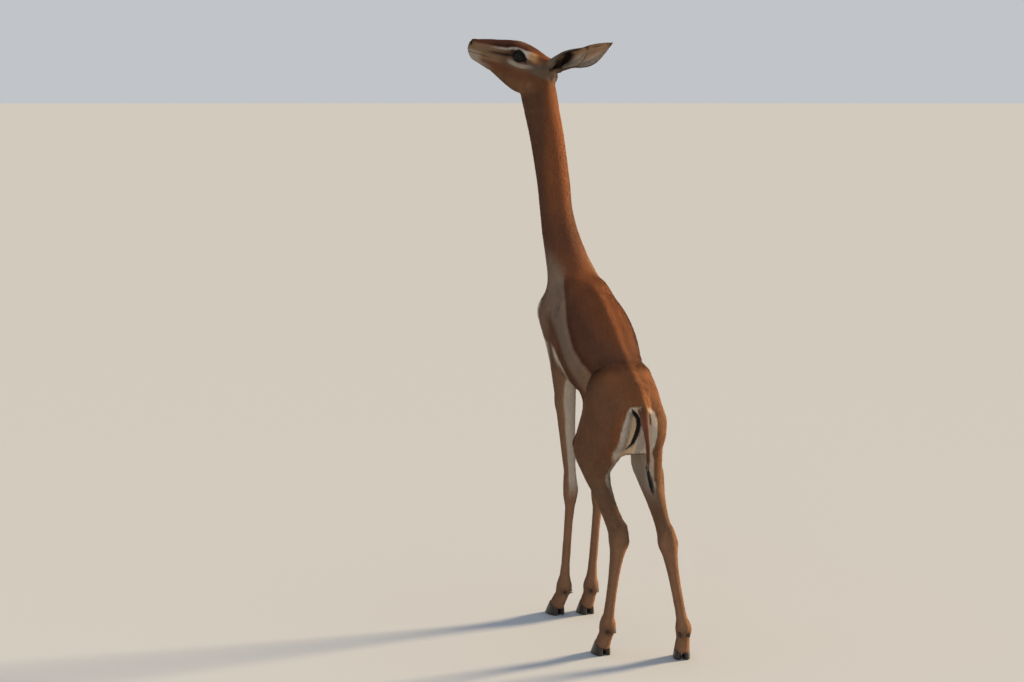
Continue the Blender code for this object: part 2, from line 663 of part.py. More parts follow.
def body_cutters(cutters):
    slab("cut_neck", NECK_CUT, NECK_CUT_NORMAL, 0.13, cutters)
    slab("cut_loin", on_trunk(LOIN_CUT, 0.005, 0), TRUNK_ALONG, 0.16, cutters)
    for number, height in enumerate(FORE_CUTS):
        box_cutter(f"cut_fore_{number}", (0.445, 0, height), FLAT_AXES, (0.09, 0.13, GAP / 2),
                   cutters)
    for number, height in enumerate(HIND_CUTS):
        box_cutter(f"cut_hind_{number}", (0.03, 0, height), FLAT_AXES, (0.19, 0.17, GAP / 2),
                   cutters)
    box_cutter("cut_fetlocks", (0.20, 0, FETLOCK_CUT), FLAT_AXES, (0.42, 0.22, GAP / 2), cutters)
    box_cutter("cut_head", (0.54, 0.06, HEAD_CUT + 0.05), FLAT_AXES, (0.15, 0.15, 0.05), cutters)
    tail_axis = unit(np.array(TAIL_ROUTE[1]) - np.array(TAIL_ROUTE[0]))
    tail_side = square_to(Y_AXIS, tail_axis)
    box_cutter("cut_tail", np.array(TAIL_ROUTE[0]) + tail_axis * 0.0100,
               (tail_side, np.cross(tail_axis, tail_side), tail_axis), (0.0150, 0.0145, 0.0100),
               cutters)
    hide_cutter(build_tail("cut_tail_side", GAP, cutters))
    for leg, joints in LEGS.items():
        fetlock, toe = np.array(joints[3]), np.array(joints[4])
        forward, left = foot_axes(fetlock, toe)
        point, normal = coronet_plane(toe, forward)
        box_cutter(f"cut_{leg}_coronet", point - normal * (0.05 - GAP),
                   (np.cross(left, normal), left, normal), (0.06, 0.04, 0.05), cutters)


def body_anchors():
    anchors = {"neck": (0.52, 0.04, 1.08), "chest": on_trunk(0.38, 0.0),
               "hindquarters": on_trunk(0.05, 0.0)}
    for leg, joints in LEGS.items():
        _, upper, middle, fetlock, toe = (np.array(j) for j in joints)
        names = ("forearm", "cannon") if leg.startswith("fore") else ("gaskin", "cannon")
        anchors[f"{leg}_{names[0]}"] = (upper + middle) / 2
        anchors[f"{leg}_{names[1]}"] = (middle * 0.8 + fetlock * 1.2) / 2
        anchors[f"{leg}_pastern"] = (fetlock * 1.3 + toe * 0.7) / 2
    return anchors


# ---- hooves and dewclaws
def hoof_outline(count, side, top):
    """Points (forward, left) of one hoof of a pair, around its edge."""
    if top:
        middle, half_length, half_width, gap = -0.0375, 0.0170, 0.0088, 0.0006
    else:
        middle, half_length, half_width, gap = -HOOF_LENGTH / 2, HOOF_LENGTH / 2, 0.0096, 0.0012
    points = []
    for number in range(count):
        angle = 2 * math.pi * number / count
        forward = middle + half_length * math.cos(angle)
        taper = 1 - 0.42 * max(math.cos(angle), 0) ** 2
        lean = 0.0035 * max(math.cos(angle), 0) ** 2
        out = half_width + half_width * math.sin(angle) * taper - lean
        points.append((forward, side * (gap + max(out, 0.0002 + 0.25 * out))))
    return points


def build_hoof(name, joints, side, collection):
    """One hoof: rings from a flat sole up to the coronet plane."""
    rings, count = 3, 14
    fetlock, toe = np.array(joints[3]), np.array(joints[4])
    forward, left = foot_axes(fetlock, toe)
    sole = np.array(hoof_outline(count, side, False))
    crown = np.array(hoof_outline(count, side, True))
    vertices = []
    for ring in range(rings):
        share = ring / (rings - 1)
        outline = sole + (crown - sole) * share
        crown_height = CORONET_FRONT[1] + (crown[:, 0] - CORONET_FRONT[0]) * math.tan(CORONET_SLOPE)
        for (ahead, out), height in zip(outline, crown_height * share):
            vertices.append(toe + forward * ahead + left * out + Z_AXIS * height)
    faces = [[k * count + i, k * count + (i + 1) % count,
              (k + 1) * count + (i + 1) % count, (k + 1) * count + i]
             for k in range(rings - 1) for i in range(count)]
    faces += [list(range(count))[::-1], list(range((rings - 1) * count, rings * count))]
    hoof = new_object(name, vertices, faces, collection)
    edit_mesh(hoof, tidy)
    return hoof


def dewclaw_mesh(name, joints, side, swell, collection):
    """A small blunt cone behind the fetlock, swollen by swell."""
    sides = 6
    fetlock, toe = np.array(joints[3]), np.array(joints[4])
    forward, left = foot_axes(fetlock, toe)
    root = fetlock - forward * 0.0125 + left * side * 0.0082 - Z_AXIS * 0.006
    axis = unit(-forward * 0.55 - Z_AXIS + left * side * 0.15)
    first = square_to(left, axis)
    second = np.cross(axis, first)
    vertices = []
    for along, radius in ((-0.003, 0.0052), (0.004, 0.0060), (0.0100, 0.0046), (0.0140, 0.0022)):
        along += swell * (-1 if along < 0 else 1) * (along < 0 or along > 0.008)
        for number in range(sides):
            angle = 2 * math.pi * number / sides
            ray = first * math.cos(angle) + second * math.sin(angle) * 0.8
            vertices.append(root + axis * along + ray * (radius + swell))
    faces = [[k * sides + i, k * sides + (i + 1) % sides,
              (k + 1) * sides + (i + 1) % sides, (k + 1) * sides + i]
             for k in range(3) for i in range(sides)]
    faces += [list(range(sides))[::-1], list(range(3 * sides, 4 * sides))]
    claw = new_object(name, vertices, faces, collection)
    edit_mesh(claw, tidy)
    return claw


# ---- eyes and ears
def eye_mesh(name, side, radius, collection):
    segments, rings = 16, 10
    sphere = bmesh.new()
    bmesh.ops.create_uvsphere(sphere, u_segments=segments, v_segments=rings, radius=radius)
    gaze = eye_gaze(side)
    sideways = square_to(HEAD_ALONG, gaze)
    turn = Matrix([sideways, np.cross(gaze, sideways), gaze]).transposed().to_4x4()
    place = on_head(EYE_PLACE[0], side * EYE_PLACE[1], EYE_PLACE[2])
    bmesh.ops.transform(sphere, matrix=Matrix.Translation(place) @ turn, verts=sphere.verts)
    bmesh.ops.triangulate(sphere, faces=sphere.faces[:])
    mesh = bpy.data.meshes.new(name)
    sphere.to_mesh(mesh)
    sphere.free()
    shape = bpy.data.objects.new(name, mesh)
    collection.objects.link(shape)
    return shape


def ear_profile(share):
    """Radius and half angle of an ear's cup at a share of its length."""
    shares, radii, angles = zip(*EAR_SHAPE)
    return np.interp(share, shares, radii), math.radians(np.interp(share, shares, angles))


def ear_opening(side):
    """Which way an ear's cup opens: the left one out and down, the right one back and inwards."""
    wish = HEAD_LEFT - 1.9 * Z_AXIS if side > 0 else -HEAD_FLAT + 0.35 * HEAD_LEFT - 0.3 * Z_AXIS
    return square_to(wish, ear_axis(side))


def build_ear(name, side, collection):
    """A cupped shell: an outer and an inner sheet that join along the rim."""
    rings, columns = 13, 8
    axis = ear_axis(side)
    opening = ear_opening(side)
    across = np.cross(axis, opening)
    base = on_head(EAR_BASE[0], side * EAR_BASE[1], EAR_BASE[2]) + axis * (0.006 + GAP)
    vertices = []
    for ring in range(rings):
        share = ring / (rings - 1)
        radius, half_angle = ear_profile(share)
        depth = radius * 0.80
        thickness = EAR_THICKNESS * (1 - 0.55 * share)
        lift = depth * (1 + math.cos(half_angle)) / 2 * min(share / 0.3, 1.0) - EAR_BEND * share ** 2
        middle = base + axis * (EAR_LENGTH - 0.006) * share + opening * lift
        for inner in (0, 1):
            for column in range(columns):
                angle = half_angle * (2 * column / (columns - 1) - 1)
                edge = abs(2 * column / (columns - 1) - 1) ** 3
                trim = thickness * inner * (1 - 0.45 * edge)
                spot = (across * math.sin(angle) * max(radius - trim, radius * 0.35)
                        - opening * math.cos(angle) * max(depth - trim, depth * 0.35))
                vertices.append(middle + spot)
    row = 2 * columns
    faces = []
    for ring in range(rings - 1):
        for column in range(columns - 1):
            outer = ring * row + column
            inner = outer + columns
            faces.append((outer, outer + 1, outer + 1 + row, outer + row))
            faces.append((inner, inner + row, inner + 1 + row, inner + 1))
        for column in (0, columns - 1):
            outer = ring * row + column
            faces.append((outer, outer + row, outer + columns + row, outer + columns))
    for ring in (0, rings - 1):
        start = ring * row
        for column in range(columns - 1):
            faces.append((start + column, start + column + 1,
                          start + columns + column + 1, start + columns + column))
    ear = new_object(name, vertices, faces, collection)
    edit_mesh(ear, tidy)
    return ear


def mouth_cutter(collection):
    """A wedge around the muzzle that cuts the line of the mouth."""
    steps = 26
    vertices = []
    for number in range(steps):
        turn = math.pi * (number / (steps - 1) - 0.5)
        front = math.cos(turn)
        along = 0.104 + 0.0655 * min(front * 1.02, 1.0) ** 0.55
        out = math.sin(turn) * (0.0235 - 0.0062 * front)
        up = -0.0185 + 0.0045 * (1 - front) ** 2
        away = unit((0.75 * front, 1.25 * math.sin(turn)))
        for reach, rise in ((-0.0050, 0.0), (0.0110, -0.0015), (0.0110, 0.0015)):
            vertices.append(on_head(along + away[0] * reach, out + away[1] * reach, up + rise))
    faces = [[k * 3 + i, k * 3 + (i + 1) % 3, (k + 1) * 3 + (i + 1) % 3, (k + 1) * 3 + i]
             for k in range(steps - 1) for i in range(3)]
    last = (steps - 1) * 3
    faces += [(0, 2, 1), (last, last + 1, last + 2)]
    wedge = new_object("cut_mouth", vertices, faces, collection)
    edit_mesh(wedge, tidy)
    return hide_cutter(wedge)


def head_cutters(cutters):
    box_cutter("cut_throat", (0.54, 0.06, HEAD_CUT + GAP - 0.05), FLAT_AXES, (0.15, 0.15, 0.05),
               cutters)
    mouth_cutter(cutters)
    for side, word in ((1, "left"), (-1, "right")):
        hide_cutter(eye_mesh(f"cut_eye_{word}", side, EYE_RADIUS + GAP, cutters))
        axis = ear_axis(side)
        opening = ear_opening(side)
        centre = on_head(EAR_BASE[0], side * EAR_BASE[1], EAR_BASE[2]) + axis * 0.026
        box_cutter(f"cut_ear_{word}", centre, (np.cross(axis, opening), opening, axis),
                   (0.030, 0.030, 0.020), cutters)


# ---- tail
def tube(name, route, radii, sides, collection):
    """A tapered tube along a route, with flat ends."""
    route = [np.array(p) for p in route]
    vertices = []
    for number, spot in enumerate(route):
        before = route[max(number - 1, 0)]
        after = route[min(number + 1, len(route) - 1)]
        axis = unit(after - before)
        first = square_to(Y_AXIS, axis)
        second = np.cross(axis, first)
        radius = radii[number]
        for k in range(sides):
            angle = 2 * math.pi * k / sides
            vertices.append(spot + radius * (first * math.cos(angle) + second * math.sin(angle)))
    faces = [[k * sides + i, k * sides + (i + 1) % sides,
              (k + 1) * sides + (i + 1) % sides, (k + 1) * sides + i]
             for k in range(len(route) - 1) for i in range(sides)]
    faces += [list(range(sides))[::-1],
              list(range((len(route) - 1) * sides, len(route) * sides))]
    shape = new_object(name, vertices, faces, collection)
    edit_mesh(shape, tidy)
    return shape


def smooth_route(points, count):
    table = np.array(points).T
    lengths = np.concatenate(([0], np.cumsum(np.linalg.norm(np.diff(table), axis=0))))
    spots = np.linspace(0, lengths[-1], count)
    return np.stack([through(lengths, row, spots) for row in table], axis=1)


def build_tail(name, swell, collection):
    route = smooth_route(TAIL_ROUTE, 12)
    start_axis = unit(np.array(TAIL_ROUTE[1]) - np.array(TAIL_ROUTE[0]))
    route[0] = route[0] + start_axis * (GAP - swell)
    marks = np.linspace(0, 1, len(TAIL_RADII))
    radii = np.interp(np.linspace(0, 1, len(route)), marks, TAIL_RADII) + swell
    return tube(name, route, radii, 10, collection)


def lock_mesh(name, root, tip, bow, width, collection):
    """A flat lock: three oval stations and a point."""
    axis = unit(tip - root)
    across = unit(np.cross(axis, bow))
    sides = 4
    length = np.linalg.norm(tip - root)
    vertices = []
    for share, wide, out in ((0.0, 0.6, 0.0), (0.35, 1.0, 0.10), (0.7, 0.7, 0.08)):
        centre = root + axis * length * share + bow * length * out
        for number in range(sides):
            angle = 2 * math.pi * number / sides
            vertices.append(centre + across * width * wide * math.cos(angle)
                            + bow * width * 0.45 * wide * math.sin(angle))
    vertices.append(tip)
    faces = [[k * sides + i, k * sides + (i + 1) % sides,
              (k + 1) * sides + (i + 1) % sides, (k + 1) * sides + i]
             for k in range(2) for i in range(sides)]
    faces += [(2 * sides + i, 2 * sides + (i + 1) % sides, 3 * sides) for i in range(sides)]
    faces.append(list(range(sides))[::-1])
    lock = new_object(name, vertices, faces, collection)
    edit_mesh(lock, tidy)
    return lock


def build_tuft(collection, helpers):
    """The tuft's core with locks around it, fused into one closed mesh."""
    end = np.array(TAIL_ROUTE[-1])
    before = np.array(TAIL_ROUTE[-2])
    tip = np.array(TUFT_TIP)
    axis = unit(tip - end)
    heading = unit(end - before)
    start = end + heading * GAP
    core_route = [start, start + heading * 0.010]
    core_route += [start + (tip - start) * share for share in (0.45, 0.7, 0.88)]
    core = tube("tail_tuft", core_route, (0.0044, 0.0064, 0.0070, 0.0050, 0.0020), 10, collection)
    first = square_to(Y_AXIS, axis)
    second = np.cross(axis, first)
    length = np.linalg.norm(tip - end)
    locks = bpy.data.collections.new("tuft_locks")
    helpers.children.link(locks)
    for number in range(TUFT_LOCKS):
        angle = number * 2.399963
        level = 0.17 + 0.38 * number / TUFT_LOCKS
        ray = first * math.cos(angle) + second * math.sin(angle)
        root = start + axis * length * level + ray * 0.0030
        reach = length * (0.40 + 0.10 * math.sin(number * 1.7))
        lock_tip = root + axis * reach + ray * 0.0034
        lock_mesh(f"lock_{number}", root, lock_tip, ray, 0.0050, locks)
    apply_modifier(core, "BOOLEAN", operation="UNION", operand_type="COLLECTION",
                   collection=locks, solver="EXACT")
    for lock in list(locks.objects):
        bpy.data.objects.remove(lock)
    bpy.data.collections.remove(locks)
    keep_largest(core)
    return core


def keep_largest(shape):
    def work(mesh):
        pieces = sorted(loose_pieces(mesh), key=len)
        for piece in pieces[:-1]:
            bmesh.ops.delete(mesh, geom=list(piece), context="FACES")
        loose = [v for v in mesh.verts if not v.link_faces]
        bmesh.ops.delete(mesh, geom=loose, context="VERTS")
        tidy(mesh)

    edit_mesh(shape, work)


# ---- materials
COLOURS = {
    "coat_rufous": ((0.36, 0.155, 0.065), 0.75),
    "coat_tan": ((0.46, 0.26, 0.13), 0.75),
    "coat_legs": ((0.42, 0.22, 0.105), 0.75),
    "ear_skin": ((0.40, 0.24, 0.14), 0.70),
    "eye": ((0.018, 0.011, 0.007), 0.12),
    "hoof_horn": ((0.022, 0.018, 0.016), 0.42),
    "tuft_hair": ((0.014, 0.011, 0.010), 0.70),
}


def make_material(name):
    colour, roughness = COLOURS[name]
    material = bpy.data.materials.new(name)
    material.use_nodes = True
    shader = material.node_tree.nodes["Principled BSDF"]
    shader.inputs["Base Color"].default_value = (*colour, 1)
    shader.inputs["Roughness"].default_value = roughness
    return material


def material_name(node):
    rules = (("eye_", "eye"), ("ear_", "ear_skin"), ("tail_tuft", "tuft_hair"),
             ("hindquarters", "coat_rufous"), ("hoof_", "hoof_horn"), ("dewclaw_", "hoof_horn"),
             ("fore_", "coat_legs"), ("hind_", "coat_legs"), ("chest", "coat_tan"))
    for start, material in rules:
        if node.startswith(start):
            return material
    return "coat_rufous"


# ---- the whole
def clear_scene():
    for shape in list(bpy.data.objects):
        bpy.data.objects.remove(shape)


def stand_on_origin(nodes):
    """Moves every node so that the middle of the box's floor is the origin."""
    points = np.array([v.co for n in nodes for v in n.data.vertices])
    low, high = points.min(axis=0), points.max(axis=0)
    shift = -np.array(((low[0] + high[0]) / 2, (low[1] + high[1]) / 2, low[2]))
    for node in nodes:
        node.data.transform(Matrix.Translation(shift))
    print("shift", [round(float(s), 5) for s in shift],
          "size", [round(float(s), 4) for s in high - low])


def main():
    clear_scene()
    gerenuk = bpy.data.collections.new(OBJECT_NAME)
    helpers = bpy.data.collections.new("cutters")
    bpy.context.scene.collection.children.link(gerenuk)
    bpy.context.scene.collection.children.link(helpers)
    for_body = bpy.data.collections.new("body_cutters")
    for_head = bpy.data.collections.new("head_cutters")
    helpers.children.link(for_body)
    helpers.children.link(for_head)

    nodes = []
    for leg, joints in LEGS.items():
        for side, word in ((1, "left"), (-1, "right")):
            nodes.append(build_hoof(f"hoof_{leg}_{word}", joints, side, gerenuk))
            nodes.append(dewclaw_mesh(f"dewclaw_{leg}_{word}", joints, side, 0.0, gerenuk))
            hide_cutter(dewclaw_mesh(f"cut_claw_{leg}_{word}", joints, side, GAP, for_body))

    body = new_object("body", *build_body(), gerenuk)
    simplify(body, BODY_TRIANGLES)
    body_cutters(for_body)
    cut(body, for_body)
    nodes += split(body, body_anchors(), gerenuk)

    head = new_object("whole_head", *build_head(), gerenuk)
    simplify(head, HEAD_TRIANGLES)
    head_cutters(for_head)
    cut(head, for_head)
    nodes += split(head, {"head": HEAD_CENTRE}, gerenuk)

    for side, word in ((1, "left"), (-1, "right")):
        nodes.append(eye_mesh(f"eye_{word}", side, EYE_RADIUS, gerenuk))
        nodes.append(build_ear(f"ear_{word}", side, gerenuk))
    nodes.append(build_tail("tail", 0.0, gerenuk))
    nodes.append(build_tuft(gerenuk, helpers))

    for name in COLOURS:
        make_material(name)
    for node in nodes:
        node.data.materials.clear()
        node.data.materials.append(bpy.data.materials[material_name(node.name)])
    stand_on_origin(nodes)
    print("triangles", {n.name: len(n.data.polygons) for n in nodes},
          "total", sum(len(n.data.polygons) for n in nodes))


main()
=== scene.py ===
"""The looks of a life-size female gerenuk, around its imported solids.

One skin is made from the solids of the flesh and refined at the head. A short coat of mesh tufts
follows its lie, and the eyes, hooves, dewclaws and tail tuft are pieces of their own. Places are
in the animal's own frame: +X forward along the trunk, +Y its left, +Z up, the hip over the origin.
"""

import math
from contextlib import contextmanager

import bmesh
import bpy
import numpy as np
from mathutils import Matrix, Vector
from mathutils.bvhtree import BVHTree


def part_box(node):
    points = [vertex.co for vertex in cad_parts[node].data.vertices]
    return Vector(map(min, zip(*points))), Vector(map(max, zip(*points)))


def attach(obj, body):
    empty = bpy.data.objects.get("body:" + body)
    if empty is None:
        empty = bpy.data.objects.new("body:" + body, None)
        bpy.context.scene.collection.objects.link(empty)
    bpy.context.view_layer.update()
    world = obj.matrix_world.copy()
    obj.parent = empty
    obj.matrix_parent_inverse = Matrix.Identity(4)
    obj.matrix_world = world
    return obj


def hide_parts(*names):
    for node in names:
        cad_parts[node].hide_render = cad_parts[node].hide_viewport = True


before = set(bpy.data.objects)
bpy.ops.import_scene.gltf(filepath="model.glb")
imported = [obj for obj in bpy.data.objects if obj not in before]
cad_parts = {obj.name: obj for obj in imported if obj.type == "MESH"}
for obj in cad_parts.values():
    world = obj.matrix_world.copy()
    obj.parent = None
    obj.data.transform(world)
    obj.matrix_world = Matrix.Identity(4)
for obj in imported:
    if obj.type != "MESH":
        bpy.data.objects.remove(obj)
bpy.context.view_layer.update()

X_AXIS, Y_AXIS, Z_AXIS = np.eye(3)
BODY = "root"
SIDES = (-1, 1)              # right and left

# ---- frames of the trunk and of the head, as in the solids
HIP = np.array((0.0, 0.0, 0.612))
TRUNK_PITCH = math.radians(20.5)
TRUNK_ALONG = np.array((math.cos(TRUNK_PITCH), 0.0, math.sin(TRUNK_PITCH)))
TRUNK_UP = np.array((-math.sin(TRUNK_PITCH), 0.0, math.cos(TRUNK_PITCH)))
PELVIS_SHIFT = 0.018         # to the left, over the hind feet

HEAD_HEADING = math.radians(52)
HEAD_PITCH = math.radians(20)
HEAD_CENTRE = np.array((0.555, 0.0925, 1.375))
HEAD_FLAT = np.array((math.cos(HEAD_HEADING), math.sin(HEAD_HEADING), 0.0))
HEAD_ALONG = math.cos(HEAD_PITCH) * HEAD_FLAT + math.sin(HEAD_PITCH) * Z_AXIS
HEAD_LEFT = np.cross(Z_AXIS, HEAD_FLAT)
HEAD_UP = np.cross(HEAD_ALONG, HEAD_LEFT)
HEAD_LEVEL = 1.28            # above it there are only head and ears

BETWEEN_LEGS = 0.26          # forward, between the hind and the fore legs
LEG_MIDDLES = (-0.005, 0.012)   # sideways, between the two fore and the two hind legs
TAIL_ROOT = 0.62             # its height

EYE_PLACE = (0.0215, 0.0255, 0.0150)
EYE_RADIUS = 0.0175
EYE_LENGTH = 0.0160          # half length of the opening between the lids
EYE_HEIGHTS = (0.0112, 0.0100)   # of its upper and its lower half
LID_SLOPE = 0.26             # rise of the lids' line forwards, against the head's axis
LID_THICKNESS = 0.0016
TEAR_END = (0.0640, 0.0350, 0.0045)

EAR_LENGTH = 0.150
EAR_THICKNESS = 0.0030
EAR_BASE = (-0.056, 0.029, 0.018)
EAR_START = 0.0063           # of the cup, from the base along the ear
EAR_REACH = EAR_LENGTH - 0.006   # of the cup's middle line
EAR_DEPTH = 0.80             # of the cup, as a share of its radius
EAR_BEND = 0.004
EAR_SPREAD = {1: math.radians(26.0), -1: math.radians(23.7)}   # left and right, from straight back
EAR_RISE = {1: math.radians(16.5), -1: math.radians(22.5)}
# share of the length, radius of the cup, half its angle in degrees
EAR_SHAPE = ((0.00, 0.0160, 172), (0.20, 0.0180, 152), (0.36, 0.0230, 114), (0.50, 0.0280, 92),
             (0.60, 0.0285, 82), (0.70, 0.0250, 76), (0.80, 0.0185, 70), (0.90, 0.0105, 66),
             (1.00, 0.0012, 60))

# ---- quality
FINE_VOXEL = 0.0022
VOXEL = FINE_VOXEL
FINENESS = (FINE_VOXEL / VOXEL) ** 2
DEPTH_PASSES = 50
SWELL = 0.0004               # closes the gaps between the solids
COAT_SHARE = 1.0
TUFT_STRETCH = 1.0


def unit(vectors):
    vectors = np.asarray(vectors, float)
    return vectors / np.maximum(np.linalg.norm(vectors, axis=-1, keepdims=True), 1e-9)


def on_head(along, left, up):
    return HEAD_CENTRE + HEAD_ALONG * along + HEAD_LEFT * left + HEAD_UP * up


def mirrored(place, side):
    """A place on the left of the head, or its mirror image on the right."""
    along, left, up = place
    return on_head(along, side * left, up)


def on_trunk(along, up, left=0.0):
    return HIP + TRUNK_ALONG * along + TRUNK_UP * up + Y_AXIS * left


def eyes_middle():
    corners = [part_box(f"eye_{side}") for side in ("left", "right")]
    return sum(np.array(low) + np.array(high) for low, high in corners) / 4


SHIFT = eyes_middle() - on_head(EYE_PLACE[0], 0, EYE_PLACE[2])   # from the own frame to the row's


def head_places(points):
    offset = points - HEAD_CENTRE
    return offset @ HEAD_ALONG, offset @ HEAD_LEFT, offset @ HEAD_UP


def past_throat(points):
    """How far a point lies beyond the throat, to the front and the top of the head."""
    along, _, up = head_places(points)
    return along * 0.6 + up * 0.8


def trunk_places(points):
    offset = points - HIP
    return offset @ TRUNK_ALONG, offset @ Y_AXIS, offset @ TRUNK_UP


def on_left_ear(points):
    return (points - HEAD_CENTRE) @ HEAD_LEFT > 0


def on_left_leg(points):
    return points[:, 1] > np.where(points[:, 0] > BETWEEN_LEGS, *LEG_MIDDLES)


def smooth(x, low, high):
    """0 below low, 1 above high and a smooth rise between."""
    t = np.clip((x - low) / (high - low), 0.0, 1.0)
    return t * t * (3 - 2 * t)


def window(x, start, full, fading, end):
    """1 from full to fading and 0 before start and after end, with smooth slopes."""
    return smooth(x, start, full) * (1 - smooth(x, fading, end))


def bell(x, width):
    return np.exp(-(x / width) ** 2)


def mix(first, second, share):
    """A blend of two colours, or rows of colours, with a share for each point."""
    return first + (second - first) * share[:, None]


def layered(colour, *layers):
    """A colour with others laid over it in turn, each by its share."""
    for over, share in layers:
        colour = mix(colour, over, share)
    return colour


def noise(points, size, seed):
    """Smooth random values from -1 to 1, in lumps of a given size."""
    grid = points / size + seed * 17.3
    cell = np.floor(grid)
    t = smooth(grid - cell, 0.0, 1.0)
    total = np.zeros(len(points))
    for corner in np.ndindex(2, 2, 2):
        wave = np.sin((cell + corner) @ np.array((127.1, 311.7, 74.7))) * 43758.5453
        weight = np.prod(np.where(corner, t, 1 - t), axis=1)
        total += (2 * (wave - np.floor(wave)) - 1) * weight
    return total


# ---- meshes
def points_of(mesh):
    points = np.empty(len(mesh.vertices) * 3)
    mesh.vertices.foreach_get("co", points)
    return points.reshape(-1, 3)


def normals_of(mesh):
    normals = np.empty(len(mesh.vertices) * 3, np.float32)
    mesh.vertex_normals.foreach_get("vector", normals)
    return normals.reshape(-1, 3).astype(float)


def edges_of(mesh):
    edges = np.empty(len(mesh.edges) * 2, np.int32)
    mesh.edges.foreach_get("vertices", edges)
    return edges.reshape(-1, 2)


def triangles_of(mesh):
    mesh.calc_loop_triangles()
    corners = np.empty(len(mesh.loop_triangles) * 3, np.int32)
    mesh.loop_triangles.foreach_get("vertices", corners)
    return corners.reshape(-1, 3)


def set_points(mesh, points):
    mesh.vertices.foreach_set("co", np.asarray(points, np.float32).ravel())
    mesh.update()


def make_mesh(name, points, faces):
    """A mesh from arrays. All faces have the same number of corners."""
    faces = np.asarray(faces, np.int32)
    mesh = bpy.data.meshes.new(name)
    mesh.vertices.add(len(points))
    mesh.vertices.foreach_set("co", np.asarray(points, np.float32).ravel())
    mesh.loops.add(faces.size)
    mesh.loops.foreach_set("vertex_index", faces.ravel())
    mesh.polygons.add(len(faces))
    mesh.polygons.foreach_set("loop_start", np.arange(0, faces.size, faces.shape[1]))
    mesh.update(calc_edges=True)
    mesh.validate()
    return mesh


def make_object(name, data):
    shape = bpy.data.objects.new(name, data)
    bpy.context.scene.collection.objects.link(shape)
    return shape


def evaluated(shape):
    depsgraph = bpy.context.evaluated_depsgraph_get()
    return bpy.data.meshes.new_from_object(shape.evaluated_get(depsgraph))


@contextmanager
def edited(mesh):
    """A mesh as a net to work on, which is written back afterwards."""
    net = bmesh.new()
    net.from_mesh(mesh)
    yield net
    net.to_mesh(mesh)
    net.free()


def paint(mesh, colours):
    """Stores linear colours, one for each vertex, as the attribute that the materials read."""
    attribute = mesh.color_attributes.new("coat", "FLOAT_COLOR", "POINT")
    rgba = np.ones((len(colours), 4), np.float32)
    rgba[:, :3] = np.clip(colours, 0.0, 1.0)
    attribute.data.foreach_set("color", rgba.ravel())


def store_map(mesh, places, faces):
    """Stores a place on the unwrap for each vertex, as the map of the faces' corners."""
    layer = mesh.uv_layers.new(name="OFBake")
    layer.data.foreach_set("uv", places[np.asarray(faces).ravel()].astype(np.float32).ravel())


def finish_piece(name, mesh, material, nodes=()):
    """Places a mesh made in the own frame as a piece of the animal."""
    set_points(mesh, points_of(mesh) + SHIFT)
    mesh.shade_smooth()
    mesh.materials.clear()
    mesh.materials.append(material)
    piece = make_object(name, mesh)
    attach(piece, BODY)
    if nodes:
        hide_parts(*nodes)


def relax(points, edges, share, passes):
    """Moves each point towards the middle of its neighbours, by its share."""
    start, end = edges.T
    total = len(points)
    count = np.maximum(np.bincount(edges.ravel(), minlength=total), 1)
    for _ in range(passes):
        middle = np.stack([np.bincount(start, points[end, k], total)
                           + np.bincount(end, points[start, k], total) for k in range(3)], axis=1)
        points = points + (middle / count[:, None] - points) * share[:, None]
    return points


# ---- forms of the trunk
# of the back: rise, distance from the spine, width
BACK_FORMS = ((0.0008, 0.0, 0.008), (-0.0022, 0.019, 0.010), (0.0038, 0.046, 0.016))
# of the crease between loin and thigh, in the trunk's frame
CREASE_UP = (-0.060, -0.024, 0.019, 0.059, 0.074, 0.083)
CREASE_ALONG = (0.118, 0.104, 0.089, 0.060, 0.047, 0.026)
# of the bare skin under the tail, painted black as dark skin and as the shadow in its gap: heights,
# sideways places and half widths
BARE_HEIGHTS = (0.512, 0.520, 0.533, 0.554, 0.575, 0.590, 0.602, 0.611)
BARE_LEFT = (0.0480, 0.0455, 0.0375, 0.0322, 0.0285, 0.0295, 0.0360, 0.0400)
BARE_WIDTHS = (0.0005, 0.0036, 0.0052, 0.0062, 0.0058, 0.0050, 0.0052, 0.0008)


def crease_away(along, up):
    """Distance in front of the crease between loin and thigh."""
    return along - np.interp(up, CREASE_UP, CREASE_ALONG)


def bare_away(points):
    """Distance outside the edge of the bare skin under the tail, painted black as dark skin and shadow.
    """
    height = points[:, 2]
    away = (np.abs(points[:, 1] - np.interp(height, BARE_HEIGHTS, BARE_LEFT))
            - np.interp(height, BARE_HEIGHTS, BARE_WIDTHS))
    away = np.maximum(away, np.maximum(0.512 - height, height - 0.611))
    return np.where(points[:, 0] < -0.04, away, 0.05)


def spine_left(along):
    """How far the spine lies to the left: the pelvis is shifted over the hind feet."""
    return PELVIS_SHIFT * (1 - smooth(along, 0.06, 0.34))


def sculpt_back(points, normals):
    """The ridge of the spine, the hollows beside it and the long muscles of the back."""
    along, left, up = trunk_places(points)
    off = np.abs(left - spine_left(along))
    top = smooth(normals[:, 2], 0.25, 0.60) * smooth(-along, -0.46, -0.30) * smooth(up, 0.0, 0.04)
    rise = sum(height * bell(off - place, width) for height, place, width in BACK_FORMS)
    rise -= 0.0020 * bell(off - 0.018, 0.009) * window(points[:, 2], 0.61, 0.63, 0.66, 0.71)
    return points + normals * (rise * top)[:, None]


